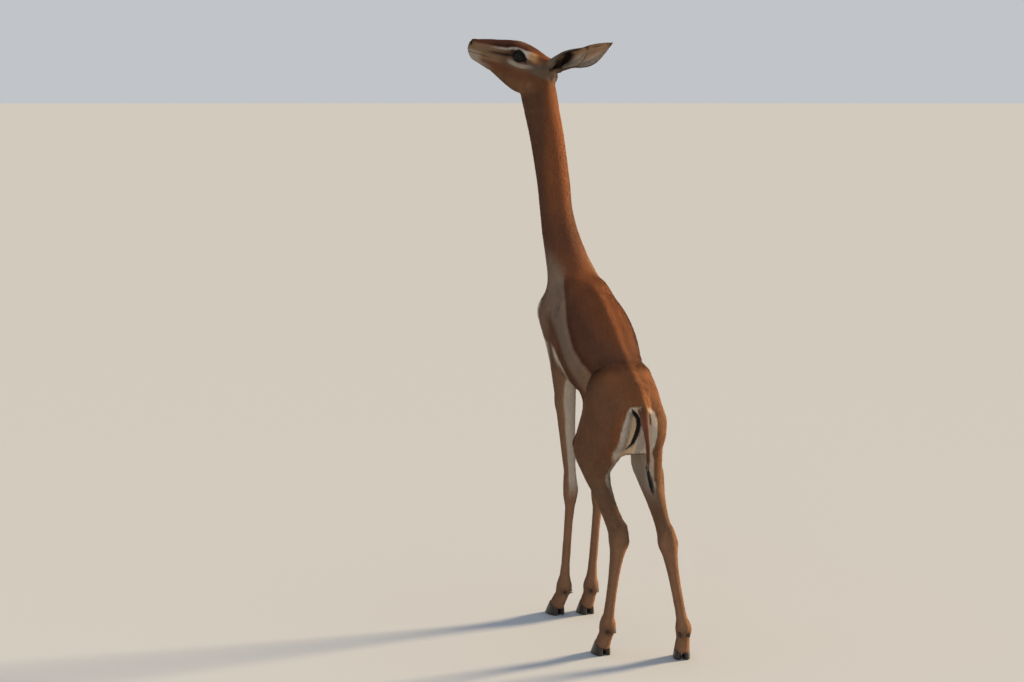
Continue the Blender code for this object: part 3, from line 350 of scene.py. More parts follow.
def sculpt_body(points, normals):
    """The crease before the thigh, the hollow under the tail and the groove of the neck."""
    along, left, up = trunk_places(points)
    height = points[:, 2]
    side = smooth(np.abs(left - PELVIS_SHIFT), 0.0, 0.05)
    rise = -0.0042 * bell(crease_away(along, up) - 0.002, 0.020) * smooth(height, 0.55, 0.60)
    rise *= (0.55 + 0.45 * side) * smooth(up, 0.0, 0.06)
    rise -= 0.0034 * (1 - smooth(bare_away(points), -0.003, 0.0015)) * smooth(-normals[:, 0], 0.2, 0.5)
    rise *= 1 - smooth(up, 0.10, 0.14) * smooth(along, 0.40, 0.46)
    ahead = normals @ unit((0.8, 0.4, 0.0))
    rise -= 0.0016 * bell(ahead - 0.45, 0.18) * window(height, 0.90, 1.00, 1.25, 1.30)
    return points + normals * rise[:, None]


# ---- the skin: from the solids of the flesh
def flesh_nodes():
    kept_apart = ("eye_", "hoof_", "dewclaw_", "tail_tuft")
    return sorted(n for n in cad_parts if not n.startswith(kept_apart))


def welded(node):
    """A node's points in the own frame, its triangles, and its normals."""
    net = bmesh.new()
    net.from_mesh(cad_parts[node].data)
    bmesh.ops.remove_doubles(net, verts=net.verts, dist=0.00001)
    bmesh.ops.triangulate(net, faces=net.faces[:])
    net.normal_update()
    points = np.array([v.co for v in net.verts]) - SHIFT
    normals = np.array([v.normal for v in net.verts])
    triangles = np.array([[v.index for v in f.verts] for f in net.faces])
    net.free()
    return points, triangles, normals


def joined(nodes, swell=0.0):
    """The points and triangles of several nodes, and the number of each triangle's node."""
    points, triangles, owners, count = [], [], [], 0
    for number, node in enumerate(nodes):
        own_points, own_triangles, normals = welded(node)
        points.append(own_points + normals * swell)
        triangles.append(own_triangles + count)
        owners += [number] * len(own_triangles)
        count += len(own_points)
    return np.concatenate(points), np.concatenate(triangles), np.array(owners)


def voxel_surface(points, triangles):
    shape = make_object("flesh", make_mesh("flesh", points, triangles))
    modifier = shape.modifiers.new("voxels", "REMESH")
    modifier.mode = "VOXEL"
    modifier.voxel_size = VOXEL
    mesh = evaluated(shape)
    bpy.data.objects.remove(shape)
    return mesh


def refine(mesh, inside):
    """Halves the edges where inside holds at both ends."""
    chosen = inside(points_of(mesh))
    with edited(mesh) as net:
        edges = [e for e in net.edges if chosen[e.verts[0].index] and chosen[e.verts[1].index]]
        bmesh.ops.subdivide_edges(net, edges=edges, cuts=1, use_grid_fill=True)


def softness(points):
    """How strongly the skin is relaxed: least where the body is thin or finely shaped."""
    height = points[:, 2]
    head = smooth(past_throat(points), -0.075, -0.045)
    trunk = window(height, 0.50, 0.60, 0.86, 0.98)
    neck = smooth(height, 0.86, 0.98) * (1 - head)
    behind = smooth(-points[:, 0], 0.118, 0.135)
    return (0.16 + 0.50 * trunk + 0.42 * neck) * (1 - 0.8 * behind) * (1 - 0.72 * head)


def neck_base(points):
    """How near a point is to the ring where the neck meets the trunk."""
    level = (points - (0.47, 0.01, 0.885)) @ unit((0.22, 0.10, 1.0))
    return bell(level, 0.058) * smooth(points[:, 2], 0.74, 0.80)


def in_head(points):
    return (past_throat(points) > -0.060) & (points[:, 2] > HEAD_LEVEL)


def in_face(points):
    along, left, up = head_places(points)
    muzzle = (along > 0.098) & (np.abs(left) < 0.05) & (up > -0.06)
    return (muzzle & in_head(points)) | near_eye(points, 0.036)


def near_eye(points, reach):
    return np.any([np.linalg.norm(points - eye_centre(s), axis=1) < reach for s in SIDES], axis=0)


def near_lids(points):
    at_edge = np.any([np.abs(eye_places(points, s)[0]) < 0.0035 for s in SIDES], axis=0)
    return at_edge & near_eye(points, 0.026)


# ---- eyes and lids
def eye_centre(side):
    return mirrored(EYE_PLACE, side)


def eye_axes(side):
    """Gaze, forward along the lids, and up across them."""
    gaze = unit(HEAD_LEFT * side + HEAD_ALONG * 0.26 + HEAD_UP * 0.10)
    wish = HEAD_ALONG + LID_SLOPE * HEAD_UP
    forward = unit(wish - (wish @ gaze) * gaze)
    return gaze, forward, np.cross(forward, gaze) * side


def lid_bow(half_height):
    """Radius of the arc along the edge of a lid."""
    return (EYE_LENGTH ** 2 + half_height ** 2) / (2 * half_height)


def eye_places(points, side):
    """Distance outside the lids' line, distance from the eye's middle, and height across."""
    gaze, forward, upward = eye_axes(side)
    offset = points - eye_centre(side)
    reach = np.linalg.norm(offset, axis=1)
    ray = offset / np.maximum(reach, 1e-6)[:, None] * (EYE_RADIUS + 0.001)
    ahead, height = ray @ forward, ray @ upward
    half_height = np.where(height > 0, *EYE_HEIGHTS)
    bow = lid_bow(half_height)
    outside = np.hypot(ahead, np.abs(height) + bow - half_height) - bow
    outside = np.where(ray @ gaze > 0, outside, 0.05)
    return outside, reach, height


def sculpt_eye(points, side):
    """Lays the lids on the eyeball, with a thick rim and a crease, and opens them."""
    outside, reach, height = eye_places(points, side)
    rim = EYE_RADIUS + LID_THICKNESS + 0.0005 * bell(outside - 0.0012, 0.0012)
    far = smooth(outside, 0.0015, 0.0120)
    lid = rim + (reach - rim) * far
    lid -= np.where(height > 0, 0.0011, 0.0006) * bell(outside - 0.0052, 0.0011)
    hidden = EYE_RADIUS - 0.0022
    opened = hidden + (lid - hidden) * smooth(outside, -0.0007, 0.0005)
    close = (1 - smooth(reach, 0.0215, 0.0290)) * (outside < 0.02)
    radius = reach + (opened - reach) * close
    return eye_centre(side) + (points - eye_centre(side)) * (radius / reach)[:, None]


def tear_line(points, side):
    """Distance from the line that runs from the eye's front corner towards the muzzle."""
    gaze, forward, _ = eye_axes(side)
    start = eye_centre(side) + forward * 0.0165 + gaze * 0.0080
    line = mirrored(TEAR_END, side) - start
    share = np.clip((points - start) @ line / (line @ line), 0, 1)
    return np.linalg.norm(points - start - share[:, None] * line, axis=1), share


# ---- muzzle
NOSTRIL = (0.1640, 0.0135, 0.0040)
MOUTH_CORNER = 0.102
MOUTH_FRONT = 0.1695
# on the side of the face: places along it, their heights, rise, width, and middle and reach along
FACE_FORMS = (
    ((-0.01, 0.02, 0.045, 0.070), (0.026, 0.031, 0.029, 0.020), 0.0010, 0.0035, 0.030, 0.035),
    ((0.01, 0.05, 0.10), (-0.018, -0.015, -0.012), 0.0008, 0.0045, 0.055, 0.040),
    ((-0.03, 0.02, 0.08), (-0.052, -0.056, -0.040), 0.0008, 0.0050, 0.020, 0.050),
)


def nostril_away(points, side):
    """Distance from the bent slit of a nostril, 1 at its edge."""
    along = unit(HEAD_ALONG * 0.55 + HEAD_UP * 0.75 - HEAD_LEFT * side * 0.45)
    across = unit(np.cross(along, HEAD_LEFT * side + HEAD_ALONG * 0.8))
    offset = points - mirrored(NOSTRIL, side)
    bent = offset @ across - 14.0 * (offset @ along) ** 2
    away = np.hypot(offset @ along / 0.0062, bent / 0.0021)
    return np.where(np.linalg.norm(offset, axis=1) < 0.018, away, 9.0)


def mouth_height(along):
    """Height of the mouth's line on the head, at a distance along it."""
    front = np.clip((along - MOUTH_CORNER) / (MOUTH_FRONT - MOUTH_CORNER), 0.0, 1.0) ** 1.8
    return -0.0185 + 0.0045 * (1 - front) ** 2


def mouth_away(points):
    """Distance above the line of the mouth, and how much of the line there is."""
    along, _, up = head_places(points)
    there = smooth(along, MOUTH_CORNER - 0.004, MOUTH_CORNER + 0.004)
    return up - mouth_height(along), there


def sculpt_muzzle(points, normals):
    above, there = mouth_away(points)
    along, left, up = head_places(points)
    depth = 0.0019 * bell(above, 0.0009) * there
    lips = 0.0007 * (bell(above - 0.0032, 0.0018) + bell(above + 0.0032, 0.0018)) * there
    rise = lips - depth
    for side in SIDES:
        away = nostril_away(points, side)
        rise += 0.0009 * bell(away - 1.75, 0.45) - 0.0048 * (1 - smooth(away, 0.35, 1.15))
    groove = bell(left, 0.0012) * smooth(along, 0.160, 0.166) * smooth(up, -0.017, -0.012)
    rise -= 0.0008 * groove
    return points + normals * rise[:, None]


def sculpt_face(points, normals):
    """The tear line, and the brow, cheek bone, jaw and vein of each side."""
    along, left, up = head_places(points)
    rise = np.zeros(len(points))
    for side in SIDES:
        away, share = tear_line(points, side)
        rise -= 0.0012 * bell(away, 0.0016) * (1 - 0.5 * share)
        own = smooth(left * side, 0.010, 0.018)
        for places, heights, height, width, middle, reach in FACE_FORMS:
            line = np.interp(along, places, heights)
            rise += height * bell(up - line, width) * own * bell(along - middle, reach)
        vein = -0.030 + 0.010 * np.sin((along - 0.03) * 55)
        rise += 0.00045 * bell(up - vein, 0.0014) * own * bell(along - 0.06, 0.022)
    return points + normals * rise[:, None]


# ---- ears
def ear_axis(side):
    spread, rise = EAR_SPREAD[side], EAR_RISE[side]
    flat = -math.cos(spread) * HEAD_FLAT + side * math.sin(spread) * HEAD_LEFT
    return math.cos(rise) * flat + math.sin(rise) * Z_AXIS


def ear_frame(side):
    """An ear's axis, the way its cup opens, and the way across."""
    wish = HEAD_LEFT - 1.9 * Z_AXIS if side > 0 else -HEAD_FLAT + 0.35 * HEAD_LEFT - 0.3 * Z_AXIS
    axis = ear_axis(side)
    opening = unit(wish - (wish @ axis) * axis)
    return axis, opening, np.cross(axis, opening)


def spline(x, xs, ys):
    """A smooth curve through a table."""
    xs, ys = np.asarray(xs, float), np.asarray(ys, float)
    slopes = np.gradient(ys, xs)
    x = np.clip(x, xs[0], xs[-1])
    k = np.clip(np.searchsorted(xs, x, side="right") - 1, 0, len(xs) - 2)
    step = xs[k + 1] - xs[k]
    t = (x - xs[k]) / step
    return ((1 + 2 * t) * (1 - t) ** 2 * ys[k] + t * (1 - t) ** 2 * step * slopes[k]
            + t * t * (3 - 2 * t) * ys[k + 1] - t * t * (1 - t) * step * slopes[k + 1])


def ear_profile(share):
    """Radius and half angle of an ear's cup, at shares of its length."""
    shares, radii, angles = zip(*EAR_SHAPE)
    return spline(share, shares, radii), np.radians(spline(share, shares, angles))


def ear_start(side):
    return mirrored(EAR_BASE, side) + ear_axis(side) * EAR_START


def ear_middles(side, share):
    """The middle of the cup at shares of its length, its radius and half its angle."""
    axis, opening, _ = ear_frame(side)
    held = np.clip(share, 0, 1)
    radius, half_angle = ear_profile(held)
    lift = (radius * EAR_DEPTH * (1 + np.cos(half_angle)) / 2 * np.minimum(held / 0.3, 1.0)
            - EAR_BEND * held ** 2)
    reach = np.multiply.outer(share * EAR_REACH, axis)
    return ear_start(side) + reach + np.multiply.outer(lift, opening), radius, half_angle


def ear_points(side, share, turn, inner):
    """Points of an ear: share of its length, turn from -1 to 1 across, on one of its sheets."""
    share, turn = np.broadcast_arrays(np.asarray(share, float), turn)
    _, opening, across = ear_frame(side)
    middle, radius, half_angle = ear_middles(side, share)
    held = np.clip(share, 0, 1)
    along = np.sin(math.pi * held) * (1 - np.abs(turn)) ** 0.5
    folds = 0.0009 * np.sin(turn * 7.0 + 0.6) * along + 0.0007 * np.cos(turn * 12.0) * along
    rolled = -0.0012 * smooth(np.abs(turn), 0.80, 1.0) * smooth(share, 0.1, 0.3)
    trim = (EAR_THICKNESS * (1 - 0.55 * held) * (1 - 0.45 * np.abs(turn) ** 3) + folds) * inner
    trim = trim + rolled * np.minimum(radius / 0.02, 1)
    angle = half_angle * turn
    wide = np.maximum(radius - trim, radius * 0.35) * np.sin(angle)
    deep = np.maximum(radius * EAR_DEPTH - trim, radius * 0.28) * np.cos(angle)
    return middle + np.multiply.outer(wide, across) - np.multiply.outer(deep, opening)


def ear_places(points, normals, side):
    """Share of the length, turn across, and how much a point lies on the inner sheet."""
    axis, opening, across = ear_frame(side)
    share = (points - ear_start(side)) @ axis / EAR_REACH
    middle, _, half_angle = ear_middles(side, share)
    offset = points - middle
    wide, deep = offset @ across, -(offset @ opening) / EAR_DEPTH
    turn = np.arctan2(wide, deep) / half_angle
    ray = wide[:, None] * across - deep[:, None] * opening
    inward = -(normals * unit(ray)).sum(axis=1)
    return share, turn, smooth(inward, -0.2, 0.3)


def ear_mesh(side):
    """A cupped shell with a rounded rim, whose root is sunk in the head."""
    rings, columns = 64, 28
    shares = np.concatenate(([-0.055, -0.028], np.linspace(0, 1, rings - 2)))
    turns = np.sin(np.linspace(-math.pi / 2, math.pi / 2, columns))
    row = 2 * columns
    sheets = [ear_points(side, shares[:, None], turns, 0),
              ear_points(side, shares[:, None], turns[::-1], 1)]
    points = np.concatenate(sheets, axis=1).reshape(-1, 3)
    quads = [(r * row + c, r * row + (c + 1) % row, (r + 1) * row + (c + 1) % row,
              (r + 1) * row + c) for r in range(rings - 1) for c in range(row)]
    mesh = bpy.data.meshes.new("ear")
    caps = [list(range(row))[::-1], list(range((rings - 1) * row, rings * row))]
    mesh.from_pydata([tuple(p) for p in points], [], quads + caps)
    with edited(mesh) as net:
        bmesh.ops.triangulate(net, faces=[f for f in net.faces if len(f.verts) > 4])
        bmesh.ops.recalc_face_normals(net, faces=net.faces[:])
    return mesh


def with_ears(mesh):
    """The skin with both ears joined to it, and relaxed round their roots."""
    for side in SIDES:
        shape = make_object("head_skin", mesh)
        ear = make_object("ear_skin", ear_mesh(side))
        union = shape.modifiers.new("ear", "BOOLEAN")
        union.operation = "UNION"
        union.object = ear
        union.solver = "MANIFOLD"
        mesh = evaluated(shape)
        bpy.data.objects.remove(shape)
        bpy.data.objects.remove(ear)
    points = points_of(mesh)
    share = np.zeros(len(points))
    for side in SIDES:
        offset = points - mirrored(EAR_BASE, side)
        level = offset @ ear_axis(side)
        close = np.linalg.norm(offset, axis=1) < 0.030
        share += 0.5 * bell(level - 0.006, 0.0055) * close
    set_points(mesh, relax(points, edges_of(mesh), share, 14))
    return mesh


# ---- the coat's depth and markings
def nearest(points, corners, triangles):
    """For each point, the nearest spot on a surface, the normal there and the triangle's number."""
    tree = BVHTree.FromPolygons([tuple(c) for c in corners], triangles.tolist())
    spots, normals, numbers, _ = zip(*(tree.find_nearest(tuple(p)) for p in points))
    return np.array(spots), np.array(normals), np.array(numbers)


def heights_above(points, corners, triangles):
    spots, normals, _ = nearest(points, corners, triangles)
    return ((points - spots) * normals).sum(axis=1)


def nearest_nodes(points, nodes):
    """For each point, the number of the nearest of the nodes."""
    corners, triangles, owners = joined(nodes)
    return owners[nearest(points, corners, triangles)[2]]


REGIONS = ("head", "ears", "neck", "chest", "hindquarters", "forelegs", "hindlegs", "tail")
COAT_DEPTH = dict(head=0.0008, ears=0.0, neck=0.0016, chest=0.0020, hindquarters=0.0020,
                  forelegs=0.0009, hindlegs=0.0009, tail=0.0010)


def region_of(node):
    for start, region in (("ear_", "ears"), ("fore_", "forelegs"), ("hind_", "hindlegs")):
        if node.startswith(start):
            return REGIONS.index(region)
    return REGIONS.index(node)


SADDLE = np.array((0.146, 0.062, 0.036))
NAPE = np.array((0.245, 0.086, 0.034))
NECK = np.array((0.122, 0.056, 0.033))
THROAT = np.array((0.168, 0.080, 0.042))
FLANK = np.array((0.300, 0.205, 0.148))
BAND = np.array((0.185, 0.080, 0.042))
THIGH = np.array((0.215, 0.102, 0.054))
RUST = np.array((0.270, 0.098, 0.036))
LEG = np.array((0.230, 0.124, 0.070))
WHITE = np.array((0.620, 0.535, 0.440))
CREAM = np.array((0.640, 0.430, 0.230))
CROWN = np.array((0.145, 0.050, 0.028))
CHEEK = np.array((0.180, 0.076, 0.036))
GREY = np.array((0.330, 0.285, 0.235))
OLIVE = np.array((0.190, 0.140, 0.092))
DARK = np.array((0.050, 0.024, 0.016))
GOLD = np.array((0.600, 0.340, 0.150))
CHEEK_TAN = np.array((0.170, 0.096, 0.060))
MUZZLE = np.array((0.265, 0.158, 0.088))
JAW = np.array((0.205, 0.104, 0.052))
TEMPLE = np.array((0.178, 0.124, 0.086))
EAR_BACK = np.array((0.205, 0.152, 0.114))
EAR_INSIDE = np.array((0.470, 0.300, 0.175))
BLACK = np.array((0.012, 0.010, 0.009))


# edges of the markings: places along the trunk or the head, and heights or widths there
SADDLE_EDGE = ((0.00, 0.063, 0.089, 0.173, 0.257, 0.339, 0.422, 0.468, 0.502, 0.53, 0.57, 0.62),
               (0.018, 0.020, 0.019, 0.014, 0.028, 0.048, 0.072, 0.082, 0.093, 0.108, 0.145, 0.22))
BELLY_EDGE = ((-0.02, 0.10, 0.20, 0.24, 0.306, 0.388, 0.440, 0.475, 0.500, 0.518, 0.529),
              (-0.090, -0.086, -0.090, -0.088, -0.060, -0.056, -0.074, -0.084, -0.075, -0.032, 0.006))
CHEEK_TOP = ((-0.03, 0.02, 0.06, 0.10, 0.16), (-0.012, -0.014, -0.014, -0.022, -0.030))
EYE_LINE = ((-0.030, -0.011, 0.011, 0.0215, 0.0365, 0.050, 0.063, 0.090, 0.115, 0.150),
            (0.021, 0.027, 0.0295, 0.0325, 0.0330, 0.0285, 0.0225, 0.0165, 0.012, 0.006))
EYE_LINE_WIDTH = ((-0.045, -0.030, -0.014, -0.002, 0.011, 0.0215, 0.0365, 0.063, 0.10, 0.14),
                  (0.0020, 0.0058, 0.0092, 0.0092, 0.0062, 0.0036, 0.0030, 0.0030, 0.0024, 0.0018))
CRESCENT = ((-0.056, -0.041, -0.0135, 0.005, 0.020, 0.040, 0.062),
            (0.010, 0.0070, 0.0025, -0.0025, -0.0042, -0.0020, 0.000))
DARK_LINE = ((0.036, 0.064, 0.095, 0.130), (0.0155, 0.0080, 0.0025, -0.004))
DARK_LINE_WIDTH = ((0.034, 0.070, 0.120), (0.0056, 0.0048, 0.0036))


def trunk_colour(points, normals):
    """The dark saddle, grey and brown bands under it, the thigh, and white breast and belly, with
    painted shade under the saddle's edge and in the crease before the thigh.
    """
    along, left, up = trunk_places(points)
    wobble = 0.004 * noise(points, 0.05, 3)
    edge = np.interp(along, *SADDLE_EDGE) + wobble
    above, away = up - edge, crease_away(along, up)
    hip = 1 - smooth(away + wobble, -0.004, 0.005)
    ridge = bell(left - spine_left(along), 0.016) * smooth(up, 0.03, 0.07)
    softer = 1 + 6 * smooth(along, 0.46, 0.52)
    saddle = smooth(above / softer, -0.002, 0.004) * (1 - hip * (1 - 0.45 * ridge))
    belly = np.interp(along, *BELLY_EDGE)
    deep = np.clip((edge - up) / np.maximum(edge - belly, 0.02), 0, 1)
    belly += 0.022 * (1 - (left / 0.055) ** 2).clip(-0.3) * smooth(along, 0.47, 0.50)
    band = smooth(deep, 0.40, 0.66) * (1 - 0.55 * smooth(along, 0.44, 0.50))
    # painted shade: a darker band just under the saddle's edge, full on the left, which faces away from
    # the light, and weak on the right
    saddle_edge_shade = bell(above - 0.008, 0.009) * (1 - hip) * smooth(-along, -0.40, -0.28)
    saddle_edge_shade *= 0.25 + 0.75 * smooth(left, 0.0, 0.03)
    colour = layered(
        mix(FLANK, FLANK * (1.06, 0.88, 0.72), smooth(-along, -0.24, -0.12)),
        (mix(BAND, BAND * 0.78, smooth(along, 0.36, 0.42)), band),
        (THIGH, 1 - smooth(away, -0.012, 0.030)),
        (FLANK * 1.25, 0.6 * bell(above + 0.009, 0.006) * window(along, 0.10, 0.18, 0.42, 0.47)),
        (mix(SADDLE, NAPE, 0.85 * smooth(up, 0.070, 0.105)), saddle),
        (SADDLE * (0.68, 0.52, 0.50), 0.75 * saddle_edge_shade),
        (RUST, 0.55 * hip * smooth(up, 0.01, 0.07)))
    # painted shade: the colour is darkened in the crease between the loin and the thigh
    crease = bell(away + 0.005, 0.022) * smooth(up, -0.02, 0.05)
    under = smooth(-normals @ TRUNK_UP, 0.05, 0.35) * smooth(along, 0.06, 0.12)
    front = smooth(along - 0.4 * (up + 0.075), 0.46, 0.50)
    white = smooth(belly - up + wobble, -0.002, 0.003) * np.maximum(under, front)
    return mix(colour * (1 - 0.28 * crease)[:, None], WHITE, white)


# of the white patches beside the tail: heights and outer edges, and edges of what lies in them
RUMP_HEIGHTS = (0.440, 0.470, 0.500, 0.534, 0.563, 0.590, 0.604, 0.613, 0.620)
RUMP_LEFT = (0.0600, 0.0625, 0.0665, 0.0695, 0.0670, 0.0600, 0.0530, 0.0430, 0.0270)
RUMP_RIGHT = (-0.0360, -0.0305, -0.0245, -0.0175, -0.0165, -0.0145, -0.0110, -0.0050, 0.0060)
STREAK_LEFT = (0.0560, 0.0560, 0.0580, 0.0580, 0.0540, 0.0480, 0.0430, 0.0400, 0.0380)


def rump_colour(colour, points, normals):
    """The white patches beside the tail, black under it as dark skin and painted shadow, painted shade
    on the white below it, and the white inner thighs.
    """
    height, left = points[:, 2], points[:, 1]
    inside = np.minimum(np.interp(height, RUMP_HEIGHTS, RUMP_LEFT) - left,
                        left - np.interp(height, RUMP_HEIGHTS, RUMP_RIGHT))
    inside = np.minimum(inside + 0.0012 * noise(points, 0.012, 12), 0.618 - height)
    behind = smooth(-normals[:, 0], 0.05, 0.30) * smooth(-points[:, 0], 0.0, 0.03)
    behind *= smooth(height, 0.46, 0.50)
    patch = smooth(inside, -0.0012, 0.0020) * behind
    side = np.where(left > PELVIS_SHIFT * smooth(TAIL_ROOT - height, -0.02, 0.02), 1.0, -1.0)
    inner = smooth(-normals[:, 1] * side, 0.15, 0.45) * smooth(0.575 - height, 0.0, 0.03)
    inner *= 1 - smooth(points[:, 0], 0.20, 0.26)
    dark_skin_and_cup_shade = np.interp(height, RUMP_HEIGHTS, STREAK_LEFT)
    grey = bell(left - dark_skin_and_cup_shade + 0.0030, 0.0088) * window(height, 0.50, 0.52, 0.600, 0.610)
    grey *= 0.9 + 0.3 * noise(points * (1, 1, 0.4), 0.006, 13)
    cream = smooth(left - 0.030, 0, 0.004) * smooth(dark_skin_and_cup_shade - 0.003 - left, 0, 0.004)
    # painted shade: a darker copy of the white just below the tail
    shaded = window(left, 0.006, 0.010, 0.026, 0.030) * smooth(0.585 - height, 0, 0.01)
    slit = bell(left - 0.0020, 0.0026) * window(height, 0.578, 0.584, 0.602, 0.608)
    # the bare skin under the tail is painted black: partly dark skin, partly the painted shadow of the
    # gap under the tail
    dark = 1 - smooth(bare_away(points), -0.0008, 0.0012)
    return layered(
        colour,
        (RUST, 0.75 * bell(inside + 0.007, 0.009) * behind * smooth(left, 0.02, 0.04)),
        (WHITE, np.maximum(patch, inner)),
        (OLIVE, 0.85 * patch * np.clip(grey, 0, 1)),
        (CREAM, 0.7 * patch * cream),
        (WHITE * (0.62, 0.56, 0.56), 0.8 * patch * shaded),
        (DARK * 1.5, 0.95 * patch * slit),
        (BLACK, dark * smooth(-normals[:, 0], 0.0, 0.2)))


def neck_colour(points, normals):
    """Brown, redder behind and paler in front, and grey towards the breast."""
    height = points[:, 2]
    heading = HEAD_HEADING * smooth(height, 1.05, 1.32)
    forward = normals[:, 0] * np.cos(heading) + normals[:, 1] * np.sin(heading)
    colour = layered(
        NECK,
        (NAPE, 0.85 * smooth(-forward, 0.35, 0.90)),
        (SADDLE * 0.92, smooth(-forward, -0.3, 0.3) * (1 - smooth(height, 0.92, 1.12))),
        (THROAT, 0.60 * smooth(forward, 0.45, 0.90)))
    base = layered(FLANK * 0.85, (NECK, smooth(-forward, -0.60, -0.10)),
                   (SADDLE * 0.92, smooth(-forward, 0.20, 0.65)))
    return mix(colour, base, 1 - smooth(height, 0.88, 0.99))


def leg_colour(points, normals):
    """Brown, white inside above the knee or hock, and darker at the knee and the pastern."""
    height, ahead = points[:, 2], points[:, 0] > BETWEEN_LEGS
    inner = -normals[:, 1] * np.where(on_left_leg(points), 1.0, -1.0)
    behind = -normals[:, 0]
    fore_white = smooth(0.8 * behind + 0.6 * inner, 0.20, 0.50) * smooth(height, 0.30, 0.36)
    hind_white = smooth(inner + 0.25 * behind, 0.25, 0.60) * smooth(height, 0.36, 0.45)
    return layered(
        LEG * (1 + 0.20 * smooth(behind, 0.2, 0.9))[:, None],
        (LEG * 0.82, smooth(height, 0.26, 0.36) * ~ahead),
        (LEG * 1.25, 0.6 * smooth(inner, 0.2, 0.7) * ~ahead),
        (LEG * 0.72, 0.5 * smooth(-behind, 0.2, 0.8) * (1 - smooth(height, 0.2, 0.5))),
        (WHITE * 0.84, np.where(ahead, fore_white, hind_white)),
        (DARK * 1.8, 0.55 * bell(height - 0.318, 0.022) * smooth(-behind, 0.3, 0.9) * ahead),
        (LEG * 0.55, 0.6 * bell(height - 0.070, 0.012) * smooth(behind, 0.1, 0.8)))


def face_ground(along, up):
    """Cheek, jaw, temple and crown, without the lines, with a painted highlight at the rear corner of
    the jaw.
    """
    width = np.interp(along, *EYE_LINE_WIDTH)
    above = up - np.interp(along, *EYE_LINE)
    edge = bell(above - width - 0.0050, 0.0040) * window(along, 0.024, 0.046, 0.095, 0.125)
    return layered(
        CHEEK,
        (mix(CHEEK_TAN, MUZZLE, smooth(along, 0.056, 0.088)),
         smooth(up - np.interp(along, *CHEEK_TOP), -0.004, 0.006)),
        (JAW, smooth(-up, 0.032, 0.048)),
        # painted highlight: a lighter spot at the rear corner of the jaw
        (JAW * 1.5, 0.6 * bell(np.hypot(along + 0.027, up + 0.036), 0.010)),
        (TEMPLE, smooth(-along, 0.012, 0.040) * smooth(up, -0.016, -0.004)),
        (mix(CROWN, NAPE, smooth(-along, -0.01, 0.04)), smooth(above, 0.0, 0.006)),
        (DARK * 0.8, 0.9 * edge),
        (MUZZLE * 1.1, 0.55 * bell(along - 0.038, 0.013) * smooth(up, 0.043, 0.048)))


def eye_lines(colour, along, side, up):
    """The pale line over the eye, painted darker before the eye and lighter over it as shade and light,
    the crescent under it and the dark line before it.
    """
    soft = 0.0015 + 0.0035 * smooth(-along, -0.002, 0.020)
    over = np.interp(along, *EYE_LINE_WIDTH) - np.abs(up - np.interp(along, *EYE_LINE))
    over = smooth(over / soft, -1.0, 1.0) * smooth(side, 0.006, 0.012)
    over *= window(along, -0.052, -0.016, 0.070, 0.125)
    # painted shade and light: the pale line is a darker white before the eye and a lighter white over it
    pale = layered(
        WHITE * 0.78,
        (WHITE * 1.05, smooth(-along, -0.026, -0.008)),
        (GOLD, smooth(-along, -0.006, 0.010)),
        (NAPE * 1.4, smooth(-along, 0.010, 0.034)))
    under = smooth(0.0052 - np.abs(up - np.interp(along, *CRESCENT)), -0.0020, 0.0030)
    under *= smooth(side, 0.015, 0.025) * (1 - smooth(along, 0.034, 0.056))
    crescent = mix(GREY * (1.25, 1.22, 1.12), TEMPLE, smooth(-along, -0.006, 0.030))
    dark = bell(up - np.interp(along, *DARK_LINE), np.interp(along, *DARK_LINE_WIDTH))
    dark *= window(along, 0.030, 0.040, 0.090, 0.135) * smooth(side, 0.012, 0.018)
    dark *= 1 - 0.25 * smooth(along, 0.06, 0.10)
    return layered(colour, (pale, 0.92 * over), (crescent, 0.92 * under), (DARK * 0.75, dark))


def muzzle_marks(colour, points):
    """Pale lips and chin, the dark nose and the line of the mouth."""
    along, _, up = head_places(points)
    above, there = mouth_away(points)
    return layered(
        colour,
        (WHITE * 0.75, 0.7 * smooth(-up, 0.006, 0.016) * smooth(along, 0.118, 0.140)),
        (WHITE * 0.75, 0.5 * smooth(-up, 0.026, 0.036) * smooth(along, 0.080, 0.120)),
        (DARK * 1.2, 0.85 * smooth(along, 0.152, 0.166) * smooth(up, -0.006, 0.004)),
        (DARK * 0.8, 0.85 * bell(above, 0.0009) * there * smooth(along, 0.098, 0.125)))


def bare_marks(colour, points, side):
    """The black rim and corners of an eye, its tear line and the nostril."""
    outside, reach, height = eye_places(points, side)
    _, forward, _ = eye_axes(side)
    ahead = (points - eye_centre(side)) @ forward
    front = bell(height - 0.001, 0.0050) * smooth(ahead, 0.010, 0.015)
    margin = 0.0020 + 0.0014 * smooth(height, -0.002, 0.006)
    rim = (1 - smooth(outside - margin, 0.0, 0.0014)) * (1 - smooth(reach, 0.0210, 0.0240))
    rear = bell(height + 0.0008, 0.0017) * window(-ahead, 0.012, 0.016, 0.022, 0.030)
    away, share = tear_line(points, side)
    return layered(
        colour,
        (DARK * 0.6, 0.9 * front * (1 - smooth(reach, 0.026, 0.034))),
        (BLACK, np.maximum(rim, rear * (reach < 0.036))),
        (BLACK, bell(away, 0.0026) * (1 - 0.5 * share)),
        (BLACK, 1 - smooth(nostril_away(points, side), 0.9, 1.5)))


def head_colour(points):
    along, left, up = head_places(points)
    colour = eye_lines(face_ground(along, up), along, np.abs(left), up)
    colour = muzzle_marks(colour, points)
    for side in SIDES:
        colour = bare_marks(colour, points, side)
    return colour


